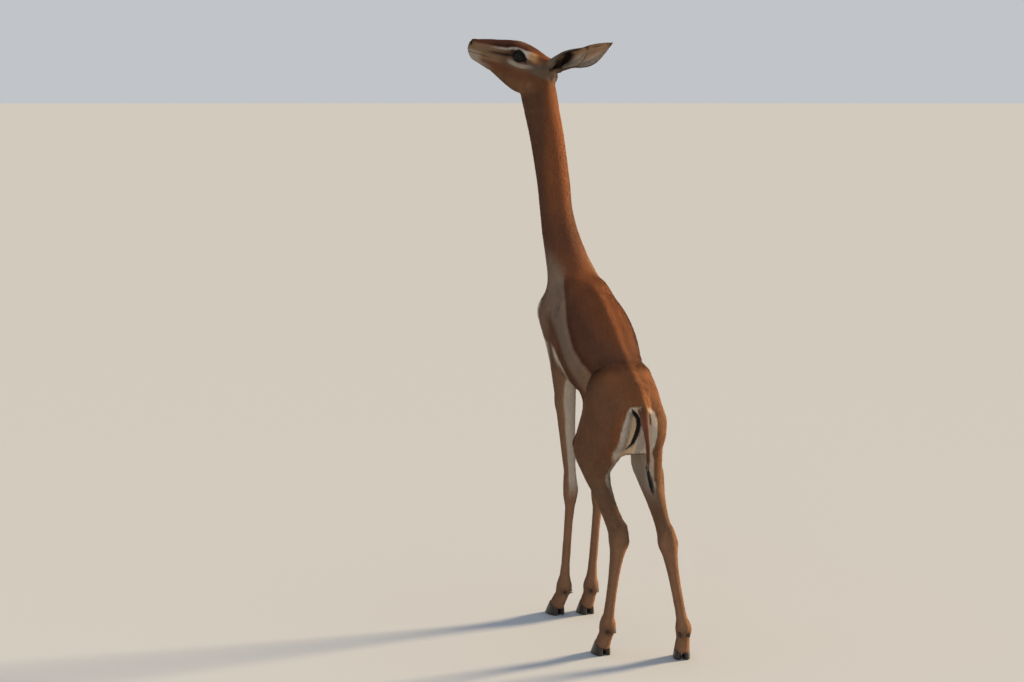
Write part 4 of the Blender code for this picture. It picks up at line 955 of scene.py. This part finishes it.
def ear_colour(points, normals, side):
    """Grey-brown outside with dark rims, and inside pale low, with dark streaks in the cup that are
    partly dark skin and partly painted shade.
    """
    share, turn, inside = ear_places(points, normals, side)
    outer = layered(
        EAR_BACK,
        (CHEEK, smooth(0.10 - share, 0.0, 0.12)),
        (EAR_BACK * 0.55, 0.6 * smooth(np.abs(turn), 0.70, 0.95)),
        (DARK * 1.5, 0.75 * smooth(share, 0.80, 0.98)))
    if side > 0:
        # dark streaks in the cup: partly dark skin, partly painted shade of the deep cup and its folds
        dark_skin_and_cup_shade = bell(turn - 0.55 + 1.75 * (share - 0.20), 0.42) * (1 - smooth(share, 0.46, 0.74))
        dark_skin_and_cup_shade = np.maximum(dark_skin_and_cup_shade, bell(turn + 0.20, 0.16) * (1 - smooth(share, 0.74, 0.88)))
    else:
        dark_skin_and_cup_shade = bell(turn + 0.40, 0.24) * (1 - smooth(share, 0.40, 0.60))
    inner = layered(
        EAR_INSIDE,
        (WHITE * 0.9, 0.85 * smooth(turn, 0.25, 0.60) * (1 - smooth(share, 0.62, 0.82))),
        (FLANK, 0.8 * bell(turn - 0.15, 0.16) * bell(share - 0.62, 0.20)),
        # the streaks, a dark spot high in the cup and the darker root: partly dark skin, partly painted
        # shade of the deep cup
        (DARK * 0.35, np.clip(1.2 * dark_skin_and_cup_shade, 0, 1) * smooth(share, 0.10, 0.20)),
        (DARK * 1.2, 0.7 * bell(turn + 0.25, 0.13) * bell(share - 0.72, 0.09)),
        (DARK * 0.4, 0.9 * (1 - smooth(share, 0.10, 0.30))),
        (DARK * 1.4, 0.85 * smooth(np.abs(turn), 0.88, 1.0) * smooth(share, 0.1, 0.3)),
        (DARK * 1.6, 0.85 * smooth(share, 0.86, 0.99)))
    return mix(outer, inner, inside)


def tail_colour(points, normals):
    """Dark brown, and pale at the sides just above the tuft."""
    drop = TAIL_ROOT - points[:, 2]
    pale = smooth(drop, 0.115, 0.135) * smooth(np.abs(normals[:, 1]), 0.3, 0.8)
    brown = SADDLE * 1.15 * (1 - 0.3 * smooth(drop, 0.02, 0.14))[:, None]
    return mix(brown, WHITE * 0.8, 0.8 * pale)


def coat_colour(points, normals, regions):
    """The markings, for skin and coat alike."""
    ahead, height = points[:, 0], points[:, 2]
    fore = smooth(ahead, 0.34, 0.37) * (1 - smooth(height, 0.625, 0.675))
    hind = (1 - smooth(ahead, 0.26, 0.30)) * (1 - smooth(height, 0.40, 0.50))
    colour = layered(
        rump_colour(trunk_colour(points, normals), points, normals),
        (leg_colour(points, normals), np.maximum(fore, hind)),
        (neck_colour(points, normals), smooth(height, 0.85, 0.97) * smooth(ahead, 0.30, 0.40)),
        (head_colour(points), smooth(past_throat(points), -0.078, -0.052) * (height > 1.20)))
    ears = regions == REGIONS.index("ears")
    if ears.any():
        right, left = [ear_colour(points[ears], normals[ears], side) for side in SIDES]
        colour[ears] = np.where(on_left_ear(points[ears])[:, None], left, right)
    tail = regions == REGIONS.index("tail")
    colour[tail] = tail_colour(points[tail], normals[tail])
    mottle = 1 + 0.07 * noise(points, 0.045, 1) + 0.05 * noise(points, 0.012, 2)
    return colour * mottle[:, None]


# ---- the lie of the coat: directions at places, blended between them
def lie_table():
    rows = []
    for side in SIDES:
        rows += [(on_head(0.17, 0.01 * side, 0.0), -HEAD_ALONG),
                 (on_head(0.10, 0.02 * side, 0.01), -HEAD_ALONG),
                 (on_head(0.03, 0.03 * side, 0.035), -HEAD_ALONG),
                 (on_head(0.03, 0.035 * side, -0.03), -HEAD_ALONG - 0.45 * HEAD_UP),
                 (on_head(-0.04, 0.03 * side, 0.0), -HEAD_ALONG - 0.3 * HEAD_UP),
                 ((0.54, 0.065 + 0.03 * side, 1.28), -Z_AXIS),
                 ((0.53, 0.045 + 0.04 * side, 1.10), -Z_AXIS),
                 ((0.50, 0.02 + 0.05 * side, 0.95), (-0.15, 0, -1)),
                 (on_trunk(0.52, -0.03, 0.05 * side), (-0.25, 0, -1)),
                 (on_trunk(0.44, 0.05, 0.06 * side), (-0.75, 0, -0.7)),
                 (on_trunk(0.42, -0.08, 0.07 * side), (-0.45, 0, -0.9)),
                 (on_trunk(0.30, 0.00, 0.09 * side), (-0.85, 0, -0.6)),
                 (on_trunk(0.25, -0.10, 0.06 * side), (-0.9, 0, -0.45)),
                 (on_trunk(0.15, 0.00, 0.08 * side), (-0.85, 0, -0.6)),
                 (on_trunk(0.02, 0.04, 0.07 * side), (-0.75, 0, -0.75)),
                 (on_trunk(0.08, -0.08, 0.08 * side), (-0.35, 0, -1)),
                 (on_trunk(-0.08, -0.02, 0.06 * side), (-0.35, 0, -1)),
                 ((0.05, 0.07 * side, 0.44), (-0.45, 0, -0.9)),
                 ((0.455, 0.05 * side, 0.55), (-0.1, 0, -1))]
    for x, y, z in ((0.44, 0.02, 0.35), (0.435, 0.03, 0.15), (0.43, -0.05, 0.35),
                    (0.43, -0.04, 0.15), (0.0, 0.05, 0.33), (0.02, 0.045, 0.17),
                    (-0.05, -0.06, 0.33), (-0.05, -0.09, 0.17)):
        rows.append(((x, y, z), (0, 0, -1)))
    rows += [(on_trunk(along, 0.11), -TRUNK_ALONG) for along in (0.40, 0.28, 0.16, 0.04, -0.06)]
    return rows


LIE_PLACES = np.array([row[0] for row in lie_table()])
LIE_WAYS = unit([row[1] for row in lie_table()])


def lie_at(points, normals, regions):
    """The direction in which hair lies, along the surface."""
    ways = np.empty_like(points)
    for start in range(0, len(points), 20000):
        part = points[start:start + 20000]
        away = np.linalg.norm(part[:, None] - LIE_PLACES[None], axis=2)
        weight = 1 / (away ** 4 + 1e-6)
        ways[start:start + 20000] = weight @ LIE_WAYS / weight.sum(axis=1, keepdims=True)
    tail = regions == REGIONS.index("tail")
    ways[tail] = (-0.05, -0.1, -1.0)
    ears = regions == REGIONS.index("ears")
    if ears.any():
        left = on_left_ear(points[ears])[:, None]
        ways[ears] = np.where(left, ear_axis(1), ear_axis(-1))
    ways += 0.10 * np.stack([noise(points, 0.03, seed) for seed in (5, 6, 7)], axis=1)
    ways -= normals * (ways * normals).sum(axis=1, keepdims=True)
    return unit(ways)


# ---- the skin, whole
# painted shade: the skin is darkened where hair covers it, for the shadow of the tufts
PAINTED_HAIR_SHADOW = 0.84           # of the skin's colour where hair covers it


def rough_skin(nodes):
    """The flesh in one surface, relaxed, with ears and with finer faces at the head."""
    mesh = voxel_surface(*joined(nodes + ["eye_left", "eye_right"], SWELL)[:2])
    points = points_of(mesh)
    solid_surface = points, triangles_of(mesh)
    passes = int(70 * FINENESS)
    points = relax(points, edges_of(mesh), 0.5 * softness(points), passes)
    set_points(mesh, relax(points, edges_of(mesh), 0.5 * neck_base(points), 3 * passes))
    for inside, passes in ((in_head, 7), (in_face, 4)):
        refine(mesh, inside)
        points = points_of(mesh)
        set_points(mesh, relax(points, edges_of(mesh), 0.5 * inside(points), passes))
    refine(mesh, near_lids)
    return with_ears(mesh), solid_surface


def sink(mesh, regions, solid_surface):
    """Lays the skin under the solids' surface by the coat's depth, and relaxes the trunk."""
    points, normals = points_of(mesh), normals_of(mesh)
    height = heights_above(points, *solid_surface) + SWELL
    depth = np.array([COAT_DEPTH[r] for r in REGIONS])[regions]
    trunk = smooth(points[:, 2], 0.56, 0.63) * (1 - smooth(-points[:, 0], 0.05, 0.09))
    filled = np.maximum(neck_base(points), trunk)
    kept = np.where(height < 0, 1 - 0.15 * neck_base(points), 1 - filled)
    kept *= 1 - smooth(points[:, 2], 1.22, 1.30)
    rise = -depth - height * 0.85 * kept
    rise = relax(np.repeat(rise[:, None], 3, axis=1), edges_of(mesh), np.full(len(rise), 0.5),
                 DEPTH_PASSES)
    points = points + normals * rise
    trunk *= 1 - smooth(points[:, 2], 1.00, 1.10)
    return relax(points, edges_of(mesh), 0.5 * trunk, int(16 * FINENESS))


def make_skin():
    nodes = flesh_nodes()
    mesh, solid_surface = rough_skin([n for n in nodes if not n.startswith("ear_")])
    points = points_of(mesh)
    regions = np.array([region_of(n) for n in nodes])[nearest_nodes(points, nodes)]
    points = sink(mesh, regions, solid_surface)
    for sculpt in (sculpt_body, sculpt_back, sculpt_face, sculpt_muzzle):
        set_points(mesh, points)
        points = sculpt(points, normals_of(mesh))
    for side in SIDES:
        points = sculpt_eye(points, side)
    set_points(mesh, points)
    # painted shade of the hair on the skin, except on bare skin
    shade = np.where(bare(points), 1.0, PAINTED_HAIR_SHADOW)
    paint(mesh, coat_colour(points, normals_of(mesh), regions) * shade[:, None])
    return mesh, regions


# ---- tufts of the coat
COATS = {   # tufts a square metre, length, half width, lift in degrees, material slot
    "head": (900000, 0.0046, 0.00042, 10, "coat_rufous"),
    "ears": (600000, 0.0034, 0.00032, 8, "ear_skin"),
    "neck": (300000, 0.0092, 0.00070, 8, "coat_rufous"),
    "chest": (260000, 0.0100, 0.00080, 8, "coat_tan"),
    "hindquarters": (260000, 0.0100, 0.00080, 8, "coat_rufous"),
    "forelegs": (420000, 0.0062, 0.00058, 8, "coat_legs"),
    "hindlegs": (380000, 0.0066, 0.00060, 8, "coat_legs"),
    "tail": (400000, 0.0095, 0.00060, 12, "coat_rufous"),
}


def length_share(points):
    """Hair is shorter towards the muzzle, round the eyes and beside the bare skin."""
    along, _, _ = head_places(points)
    near_muzzle = np.interp(along, (-0.05, 0.05, 0.12, 0.17), (1.15, 0.9, 0.62, 0.42))
    share = np.where(points[:, 2] > HEAD_LEVEL, near_muzzle, 1.0)
    share = share * (1 - 0.5 * bell(bare_away(points), 0.010))
    for side in SIDES:
        outside, reach, _ = eye_places(points, side)
        share = share * np.where(reach < 0.04, 0.5 + 0.5 * smooth(outside, 0.002, 0.014), 1.0)
    return share


def hollow_lift(points):
    """Degrees by which hair stands up more in the crease before the thigh."""
    along, _, up = trunk_places(points)
    crease = bell(crease_away(along, up) - 0.004, 0.018) * (points[:, 2] > 0.55)
    return 5 * crease


def bare(points):
    """True where no hair grows: lids, nostrils, the line of the mouth and under the tail."""
    above, there = mouth_away(points)
    found = (np.abs(above) < 0.0013) & (there > 0.5) & (points[:, 2] > HEAD_LEVEL)
    found |= bare_away(points) < 0.0
    for side in SIDES:
        outside, reach, _ = eye_places(points, side)
        found |= (outside < 0.0016) & (reach < 0.0225)
        found |= nostril_away(points, side) < 1.5
    return found


def turn_share(across, outward):
    """The turn round an axis, from 0 to 1."""
    return np.arctan2(across, outward) / math.tau + 0.5


def unwrap(points, region):
    """A place on an unwrap of a region of the skin, round its own axis, from 0 to 1."""
    x, y, height = points.T
    if region == "head":
        along, left, up = head_places(points)
        return turn_share(left, -up - 0.01), (along + 0.10) / 0.28
    if region == "ears":
        turn, level = np.empty((2, len(points)))
        for side in SIDES:
            own = on_left_ear(points) == (side > 0)
            offset = points[own] - mirrored(EAR_BASE, side)
            axis, opening, across = ear_frame(side)
            turn[own] = (turn_share(offset @ across, offset @ opening) + (side > 0)) / 2
            level[own] = offset @ axis / (EAR_LENGTH * 1.05)
        return turn, level
    if region in ("chest", "hindquarters"):
        along, left, up = trunk_places(points)
        return turn_share(left - 0.01, up + 0.01), (along + 0.16) / 0.80
    if region == "neck":
        middle = 0.455 + 0.18 * (height - 0.76), 0.15 * (height - 0.84)
        return turn_share(y - middle[1], x - middle[0]), (height - 0.80) / 0.55
    if region == "tail":
        return turn_share(y - 0.022, x + 0.14), (height - 0.40) / 0.25
    left = on_left_leg(points)
    middle = np.where(x > BETWEEN_LEGS, 0.44, 0.0), np.where(left, 0.045, -0.055)
    return (turn_share(y - middle[1], x - middle[0]) + left) / 2, height / 0.62


PATCH = 0.003                # of a tuft, on the unwrap
PATCH_CORNERS = np.array(((0, -1), (-1, 0), (0, 1), (1, 0))) * PATCH / 2
# painted shading along each tuft: darker at its root and lighter at its tip
TUFT_PAINTED_SHADING = np.array((0.80, 1.0, 1.10, 1.0))   # of its colour: root, side, tip, side


def make_tufts(region, roots, normals, ways, lengths, widths, lifts, colours, material):
    """One mesh of flat kites with a raised ridge, each with its own patch on the unwrap."""
    sides = np.cross(normals, ways)
    lifted = ways * np.cos(lifts)[:, None] + normals * np.sin(lifts)[:, None]
    tip = roots + lifted * lengths[:, None]
    middle = roots + lifted * (lengths * 0.42)[:, None] - normals * (widths * 0.5)[:, None]
    wide = sides * widths[:, None]
    corners = np.stack([roots - normals * 0.0003, middle - wide, tip, middle + wide], axis=1)
    start = np.arange(len(roots))[:, None] * 4
    faces = np.concatenate([start + (0, 1, 2), start + (0, 2, 3)])
    mesh = make_mesh(f"coat_{region}", corners.reshape(-1, 3), faces)
    # each tuft's colour with its painted shading
    paint(mesh, (colours[:, None] * TUFT_PAINTED_SHADING[:, None]).reshape(-1, 3))
    across, level = (np.clip(c, 0.0, 1.0) * 0.98 + 0.01 for c in unwrap(roots, region))
    places = np.stack([across, level], axis=1)[:, None] + PATCH_CORNERS
    store_map(mesh, places.reshape(-1, 2), faces)
    finish_piece(f"coat_{region}", mesh, material)


def scatter(mesh, regions, region, amount, rng):
    """Even random places on a region of the skin, with their normals."""
    points, normals, triangles = points_of(mesh), normals_of(mesh), triangles_of(mesh)
    own = triangles[regions[triangles[:, 0]] == REGIONS.index(region)]
    a, b, c = (points[own[:, k]] for k in range(3))
    area = np.linalg.norm(np.cross(b - a, c - a), axis=1) / 2
    count = int(area.sum() * amount)
    sums = np.cumsum(area)
    picks = (np.arange(count) + rng.random(count)) / count * sums[-1]
    chosen = own[np.clip(np.searchsorted(sums, picks), 0, len(own) - 1)]
    u, v = rng.random((2, count))
    flip = u + v > 1
    u[flip], v[flip] = 1 - u[flip], 1 - v[flip]
    weights = np.stack([1 - u - v, u, v], axis=1)[:, :, None]
    return (points[chosen] * weights).sum(axis=1), unit((normals[chosen] * weights).sum(axis=1))


def make_coat(mesh, regions, material):
    for number, (region, (amount, length, width, lift, _)) in enumerate(COATS.items()):
        rng = np.random.default_rng(100 + number)
        roots, normals = scatter(mesh, regions, region, amount * COAT_SHARE, rng)
        grown = ~bare(roots)
        roots, normals = roots[grown], normals[grown]
        count = len(roots)
        tags = np.full(count, REGIONS.index(region))
        lie = lie_at(roots, normals, tags)
        ways = unit(lie + np.cross(normals, lie) * rng.normal(0, 0.10, (count, 1)))
        share = length_share(roots) * TUFT_STRETCH
        lengths = length * share * rng.uniform(0.75, 1.25, count)
        widths = width * np.sqrt(share) * rng.uniform(0.8, 1.2, count)
        lifts = np.radians(lift * rng.uniform(0.5, 1.5, count) + hollow_lift(roots))
        colours = coat_colour(roots, normals, tags) * rng.uniform(0.86, 1.14, (count, 1))
        make_tufts(region, roots, normals, ways, lengths, widths, lifts, colours, material)


# ---- long hair: locks that bend
LOCK_SIDES = 3


def lock_points(root, way, droop, length, width, steps):
    """Rings of a tapered lock that starts along way and bends towards droop."""
    spots = [np.array(root, float)]
    heading = unit(way)
    for _ in range(steps):
        heading = unit(heading + np.asarray(droop) / steps)
        spots.append(spots[-1] + heading * length / steps)
    first = unit(np.cross(heading, X_AXIS + 0.3 * Z_AXIS))
    second = np.cross(heading, first)
    rings = []
    for number, spot in enumerate(spots[:-1]):
        share = number / steps
        radius = width * (0.55 + 0.45 * math.sin(math.pi * min(share * 1.6, 1.0))) * (1 - share) ** 0.5
        for k in range(LOCK_SIDES):
            angle = math.tau * k / LOCK_SIDES
            rings.append(spot + radius * (first * math.cos(angle) + 0.7 * second * math.sin(angle)))
    return rings + [spots[-1]]


def make_locks(name, rows, material, steps=5, nodes=()):
    """One mesh of locks. Each row has a lock (root, way, droop, length, width), a colour and a place."""
    locks, colours, places = zip(*rows)
    points, faces = [], []
    for lock in locks:
        base = len(points)
        points += lock_points(*lock, steps)
        tip = len(points) - 1
        for start in range(base, tip, LOCK_SIDES):
            for k in range(LOCK_SIDES):
                a, b = start + k, start + (k + 1) % LOCK_SIDES
                if start + LOCK_SIDES == tip:
                    faces.append((a, b, tip))
                else:
                    faces += [(a, b, b + LOCK_SIDES), (a, b + LOCK_SIDES, a + LOCK_SIDES)]
    mesh = make_mesh(name, np.array(points), faces)
    each = steps * LOCK_SIDES + 1
    paint(mesh, np.repeat(np.asarray(colours), each, axis=0))
    level = np.append(np.repeat(np.arange(steps) / steps, LOCK_SIDES), 1.0)
    turn = np.append(np.tile(np.arange(LOCK_SIDES) / LOCK_SIDES, steps), 0.5)
    patch = (np.stack([turn, level], axis=1) - 0.5) * PATCH
    store_map(mesh, np.repeat(np.asarray(places), each, axis=0) + np.tile(patch, (len(locks), 1)), faces)
    finish_piece(name, mesh, material, nodes)


TAIL_END = np.array((-0.145, 0.0155, 0.478))
TUFT_TIP = np.array((-0.144, 0.002, 0.424))


def make_tail_tuft(material):
    rng = np.random.default_rng(7)
    length = np.linalg.norm(TUFT_TIP - TAIL_END)
    axis = unit(TUFT_TIP - TAIL_END)
    first = unit(np.cross(axis, X_AXIS))
    second = np.cross(axis, first)
    rows = []
    for _ in range(420):
        level = rng.uniform(-0.22, 0.55)
        angle = rng.uniform(0, math.tau)
        ray = first * math.cos(angle) + second * math.sin(angle)
        root = TAIL_END + axis * length * level + ray * 0.0034 * rng.uniform(0.5, 1.1)
        reach = length * rng.uniform(0.42, 0.62) * (1.15 - 0.25 * level)
        way = axis + ray * rng.uniform(0.04, 0.18)
        droop = axis * 0.5 - ray * rng.uniform(0.1, 0.4)
        colour = BLACK * rng.uniform(0.7, 1.8) + (level < -0.1) * 0.02
        place = angle / math.tau, (level + 0.25) * 0.9 + 0.05
        rows.append(((root, way, droop, reach, 0.0009), colour, place))
    make_locks("tail_tuft_hair", rows, material, nodes=("tail_tuft",))


def make_lashes(material):
    rng = np.random.default_rng(9)
    half_height = EYE_HEIGHTS[0]
    bow = lid_bow(half_height)
    rows = []
    for side in SIDES:
        gaze, forward, upward = eye_axes(side)
        for share in np.arange(46) / 45:
            ahead = EYE_LENGTH * (0.80 - 1.5 * share)
            height = math.sqrt(bow ** 2 - ahead ** 2) - bow + half_height
            depth = math.sqrt(max((EYE_RADIUS + 0.0022) ** 2 - ahead ** 2 - height ** 2, 1e-6))
            root = eye_centre(side) + forward * ahead + upward * (height + 0.0003) + gaze * depth
            way = gaze * 0.9 - upward * 0.15 + forward * (ahead * 18 + rng.normal(0, 0.10))
            size = 0.0072 * (0.6 + 0.4 * math.sin(math.pi * share)) * rng.uniform(0.8, 1.1)
            place = 0.25 + 0.5 * (side > 0), 0.1 + 0.8 * share
            rows.append(((root, way, upward * 0.5, size, 0.00022), BLACK, place))
    make_locks("eyelashes", rows, material, steps=4)


def make_ear_hair(material):
    """Pale hair along the lower rim and in the cup of each ear."""
    rng = np.random.default_rng(11)
    rows = []
    for side in SIDES:
        axis, opening, _ = ear_frame(side)
        for number in range(640):
            low = number % 4 > 0
            share = rng.uniform(0.22, 0.90) if low else rng.uniform(0.10, 0.55)
            turn = rng.uniform(0.60, 0.97) if low else rng.uniform(-0.95, -0.55)
            root, middle = ear_points(side, np.array((share, share)), np.array((turn, 0.0)), 1)
            inward = unit(middle - root + opening * 0.012)
            way = axis * 0.9 + inward * 0.40 + opening * 0.20 + 0.12 * rng.normal(size=3)
            size = rng.uniform(0.007, 0.015) * (1 - 0.55 * share)
            colour = (WHITE if low else FLANK) * rng.uniform(0.70, 0.95)
            place = (0.5 + 0.45 * turn + (side > 0)) / 2, share
            rows.append(((root, way, axis * 0.6, size, 0.00030), colour, place))
    make_locks("ear_hair", rows, material, steps=3)


# ---- hooves and eyes
LEGS = ("fore_left", "fore_right", "hind_left", "hind_right")


def make_hoof(node, material):
    """A finer copy of a hoof: its solid's own surface, subdivided, rounded and ringed."""
    points, triangles, _ = welded(node)
    shape = make_object("hoof", make_mesh("hoof", points, triangles))
    bevel = shape.modifiers.new("edges", "BEVEL")
    bevel.width = 0.0012
    bevel.segments = 2
    bevel.limit_method = "ANGLE"
    bevel.angle_limit = math.radians(50)
    finer = shape.modifiers.new("finer", "SUBSURF")
    finer.levels = finer.render_levels = 2
    mesh = evaluated(shape)
    bpy.data.objects.remove(shape)
    places, normals = points_of(mesh), normals_of(mesh)
    steep = smooth(1 - np.abs(normals[:, 2]), 0.3, 0.7)
    rings = 0.00022 * np.sin(places[:, 2] / 0.0042 * math.tau + 2 * noise(places, 0.02, 4))
    places = places + normals * (rings * steep)[:, None]
    places[:, 2] = np.maximum(places[:, 2], 0.0)
    set_points(mesh, places)
    finish_piece(node.replace("hoof_", "horn_"), mesh, material, (node,))


def make_eye(side, word, material):
    """The eyeball with the slight bulge of its cornea."""
    rings, segments = 40, 64
    gaze, forward, upward = eye_axes(side)
    points, faces = [], []
    for ring in range(rings + 1):
        tilt = math.pi * ring / rings
        bulge = 0.0009 * math.exp(-(tilt / 0.62) ** 4)
        for k in range(segments):
            turn = math.tau * k / segments
            ray = (gaze * math.cos(tilt) + math.sin(tilt)
                   * (forward * math.cos(turn) + upward * math.sin(turn)))
            points.append(eye_centre(side) + ray * (EYE_RADIUS + bulge))
    for ring in range(rings):
        for k in range(segments):
            a, b = ring * segments + k, ring * segments + (k + 1) % segments
            faces.append((a, a + segments, b + segments, b))
    mesh = make_mesh(f"eyeball_{word}", np.array(points), faces)
    with edited(mesh) as net:
        bmesh.ops.remove_doubles(net, verts=net.verts, dist=0.000002)
        bmesh.ops.recalc_face_normals(net, faces=net.faces[:])
    places = points_of(mesh)
    offset = places - eye_centre(side)
    ahead, height = offset @ forward, offset @ upward
    iris = np.hypot(ahead, height) / 0.0125
    pupil = np.hypot(ahead / 0.0078, height / 0.0036)
    rays = noise(np.stack([np.arctan2(height, ahead) * 9, iris * 2, iris * 0], axis=1), 1.0, 8)
    colour = np.array((0.007, 0.004, 0.003)) * (1 + 0.35 * rays)[:, None]
    colour = mix(colour, BLACK * 0.35, 1 - smooth(pupil, 0.9, 1.12))
    colour = mix(colour, BLACK * 0.5, smooth(iris, 0.88, 1.0))
    paint(mesh, colour)
    finish_piece(f"eyeball_{word}", mesh, material, (f"eye_{word}",))


# ---- materials
def set_inputs(node, **inputs):
    for socket, value in inputs.items():
        node.inputs[socket.replace("_", " ")].default_value = value


def new_material(name, roughness, specular):
    """A material, its node tree and its shader."""
    material = bpy.data.materials.new(name)
    material.use_nodes = True
    shader = material.node_tree.nodes["Principled BSDF"]
    set_inputs(shader, Roughness=roughness, Specular_IOR_Level=specular)
    return material, material.node_tree, shader


def new_node(tree, kind, **inputs):
    node = tree.nodes.new("ShaderNode" + kind)
    set_inputs(node, **inputs)
    return node


def painted_colour(tree):
    node = new_node(tree, "Attribute")
    node.attribute_name = "coat"
    return node.outputs["Color"]


def grain(tree, shader, scale, detail, strength, distance):
    """A fine noise in the object's own coordinates, which is also the shader's bump."""
    link = tree.links.new
    coordinates = new_node(tree, "TexCoord")
    texture = new_node(tree, "TexNoise", Scale=scale, Detail=detail)
    bump = new_node(tree, "Bump", Strength=strength, Distance=distance)
    link(coordinates.outputs["Object"], texture.inputs["Vector"])
    link(texture.outputs["Fac"], bump.inputs["Height"])
    link(bump.outputs["Normal"], shader.inputs["Normal"])
    return texture.outputs["Fac"]


def painted(name, roughness, specular, scale, strength):
    """The painted colour, varied by a fine grain that is also its bump."""
    material, tree, shader = new_material(name, roughness, specular)
    link = tree.links.new
    fine = grain(tree, shader, scale, 3.0, strength, 0.0006)
    shade = new_node(tree, "MapRange", To_Min=0.78, To_Max=1.18)
    varied = new_node(tree, "VectorMath")
    varied.operation = "SCALE"
    link(fine, shade.inputs["Value"])
    link(painted_colour(tree), varied.inputs[0])
    link(shade.outputs["Result"], varied.inputs["Scale"])
    link(varied.outputs["Vector"], shader.inputs["Base Color"])
    return material


def horn_material():
    material, tree, shader = new_material("hoof_horn", 0.42, 0.45)
    ramp = new_node(tree, "ValToRGB")
    ramp.color_ramp.elements[0].color = (0.012, 0.010, 0.009, 1)
    ramp.color_ramp.elements[1].color = (0.060, 0.045, 0.034, 1)
    tree.links.new(grain(tree, shader, 140.0, 5.0, 0.35, 0.0008), ramp.inputs["Fac"])
    tree.links.new(ramp.outputs["Color"], shader.inputs["Base Color"])
    return material


def eye_material():
    material, tree, shader = new_material("eye", 0.05, 0.16)
    tree.links.new(painted_colour(tree), shader.inputs["Base Color"])
    return material


# ---- floor, light and camera
CAMERA_PLACE = (-4.308, 1.443, 1.300)
CAMERA_HEADING = math.radians(-15)      # from +X
CAMERA_TILT = math.radians(6.93)        # downwards
IMAGE_WIDTH = 1024
FOCAL_PIXELS = 2010
LIGHT_TARGET = (0.0, 0.0, 0.75)


def make_floor():
    material, _, shader = new_material("floor", 1.0, 0.0)
    set_inputs(shader, Base_Color=(0.43, 0.47, 0.53, 1))
    radius, corners = 400.0, 96
    turns = np.arange(corners) * math.tau / corners
    points = np.stack([radius * np.cos(turns), radius * np.sin(turns), turns * 0], axis=1)
    mesh = bpy.data.meshes.new("floor")
    mesh.from_pydata([tuple(p) for p in points], [], [list(range(corners))])
    mesh.materials.append(material)
    make_object("floor", mesh)


def aim(shape, place, target):
    shape.location = place
    shape.rotation_mode = "QUATERNION"
    shape.rotation_quaternion = (Vector(target) - Vector(place)).to_track_quat("-Z", "Y")


def make_light(name, kind, place, energy, colour):
    light = bpy.data.lights.new(name, kind)
    light.energy = energy
    light.color = colour
    aim(make_object(name, light), place, LIGHT_TARGET)
    return light


def make_lights():
    """A low warm light from the right and a little behind the animal, and a weak fill."""
    key = make_light("key", "SUN", (0.94, -5.93, 2.80), 9.5, (1.0, 0.72, 0.40))
    key.angle = math.radians(12)
    fill = make_light("fill", "AREA", (-3.6, 2.2, 2.2), 12.0, (0.95, 0.97, 1.0))
    fill.shape = "DISK"
    fill.size = 1.2


def make_world():
    world = bpy.data.worlds.new("studio")
    world.use_nodes = True
    background = world.node_tree.nodes["Background"]
    set_inputs(background, Color=(0.86, 0.89, 0.93, 1), Strength=0.62)
    bpy.context.scene.world = world
    bpy.context.scene.view_settings.view_transform = "Standard"


def make_camera():
    data = bpy.data.cameras.new("camera")
    data.sensor_width = 36.0
    data.lens = data.sensor_width * FOCAL_PIXELS / IMAGE_WIDTH
    data.clip_end = 1000.0
    camera = make_object("camera", data)
    place = np.array(CAMERA_PLACE) + SHIFT * (1, 1, 0)
    way = np.array((math.cos(CAMERA_HEADING), math.sin(CAMERA_HEADING), -math.tan(CAMERA_TILT)))
    aim(camera, tuple(place), tuple(place + way))
    bpy.context.scene.camera = camera


def dress_claw(node, material):
    """Rounds a dewclaw's own solid and gives it its material."""
    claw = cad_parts[node]
    finer = claw.modifiers.new("finer", "SUBSURF")
    finer.levels = finer.render_levels = 2
    claw.data.materials.clear()
    claw.data.materials.append(material)


def main():
    make_camera()
    make_world()
    make_floor()
    make_lights()

    hair = painted("coat_hair", 0.80, 0.08, 700.0, 0.10)
    skin_material = painted("coat_skin", 0.80, 0.10, 900.0, 0.55)
    dark_hair = painted("dark_hair", 0.60, 0.18, 500.0, 0.15)
    horn = horn_material()
    mesh, regions = make_skin()
    make_coat(mesh, regions, hair)
    finish_piece("skin", mesh, skin_material, flesh_nodes())
    make_tail_tuft(dark_hair)
    make_lashes(dark_hair)
    make_ear_hair(hair)
    eye = eye_material()
    for side, word in ((1, "left"), (-1, "right")):
        make_eye(side, word, eye)
    for leg in LEGS:
        for word in ("left", "right"):
            make_hoof(f"hoof_{leg}_{word}", horn)
            dress_claw(f"dewclaw_{leg}_{word}", horn)


main()
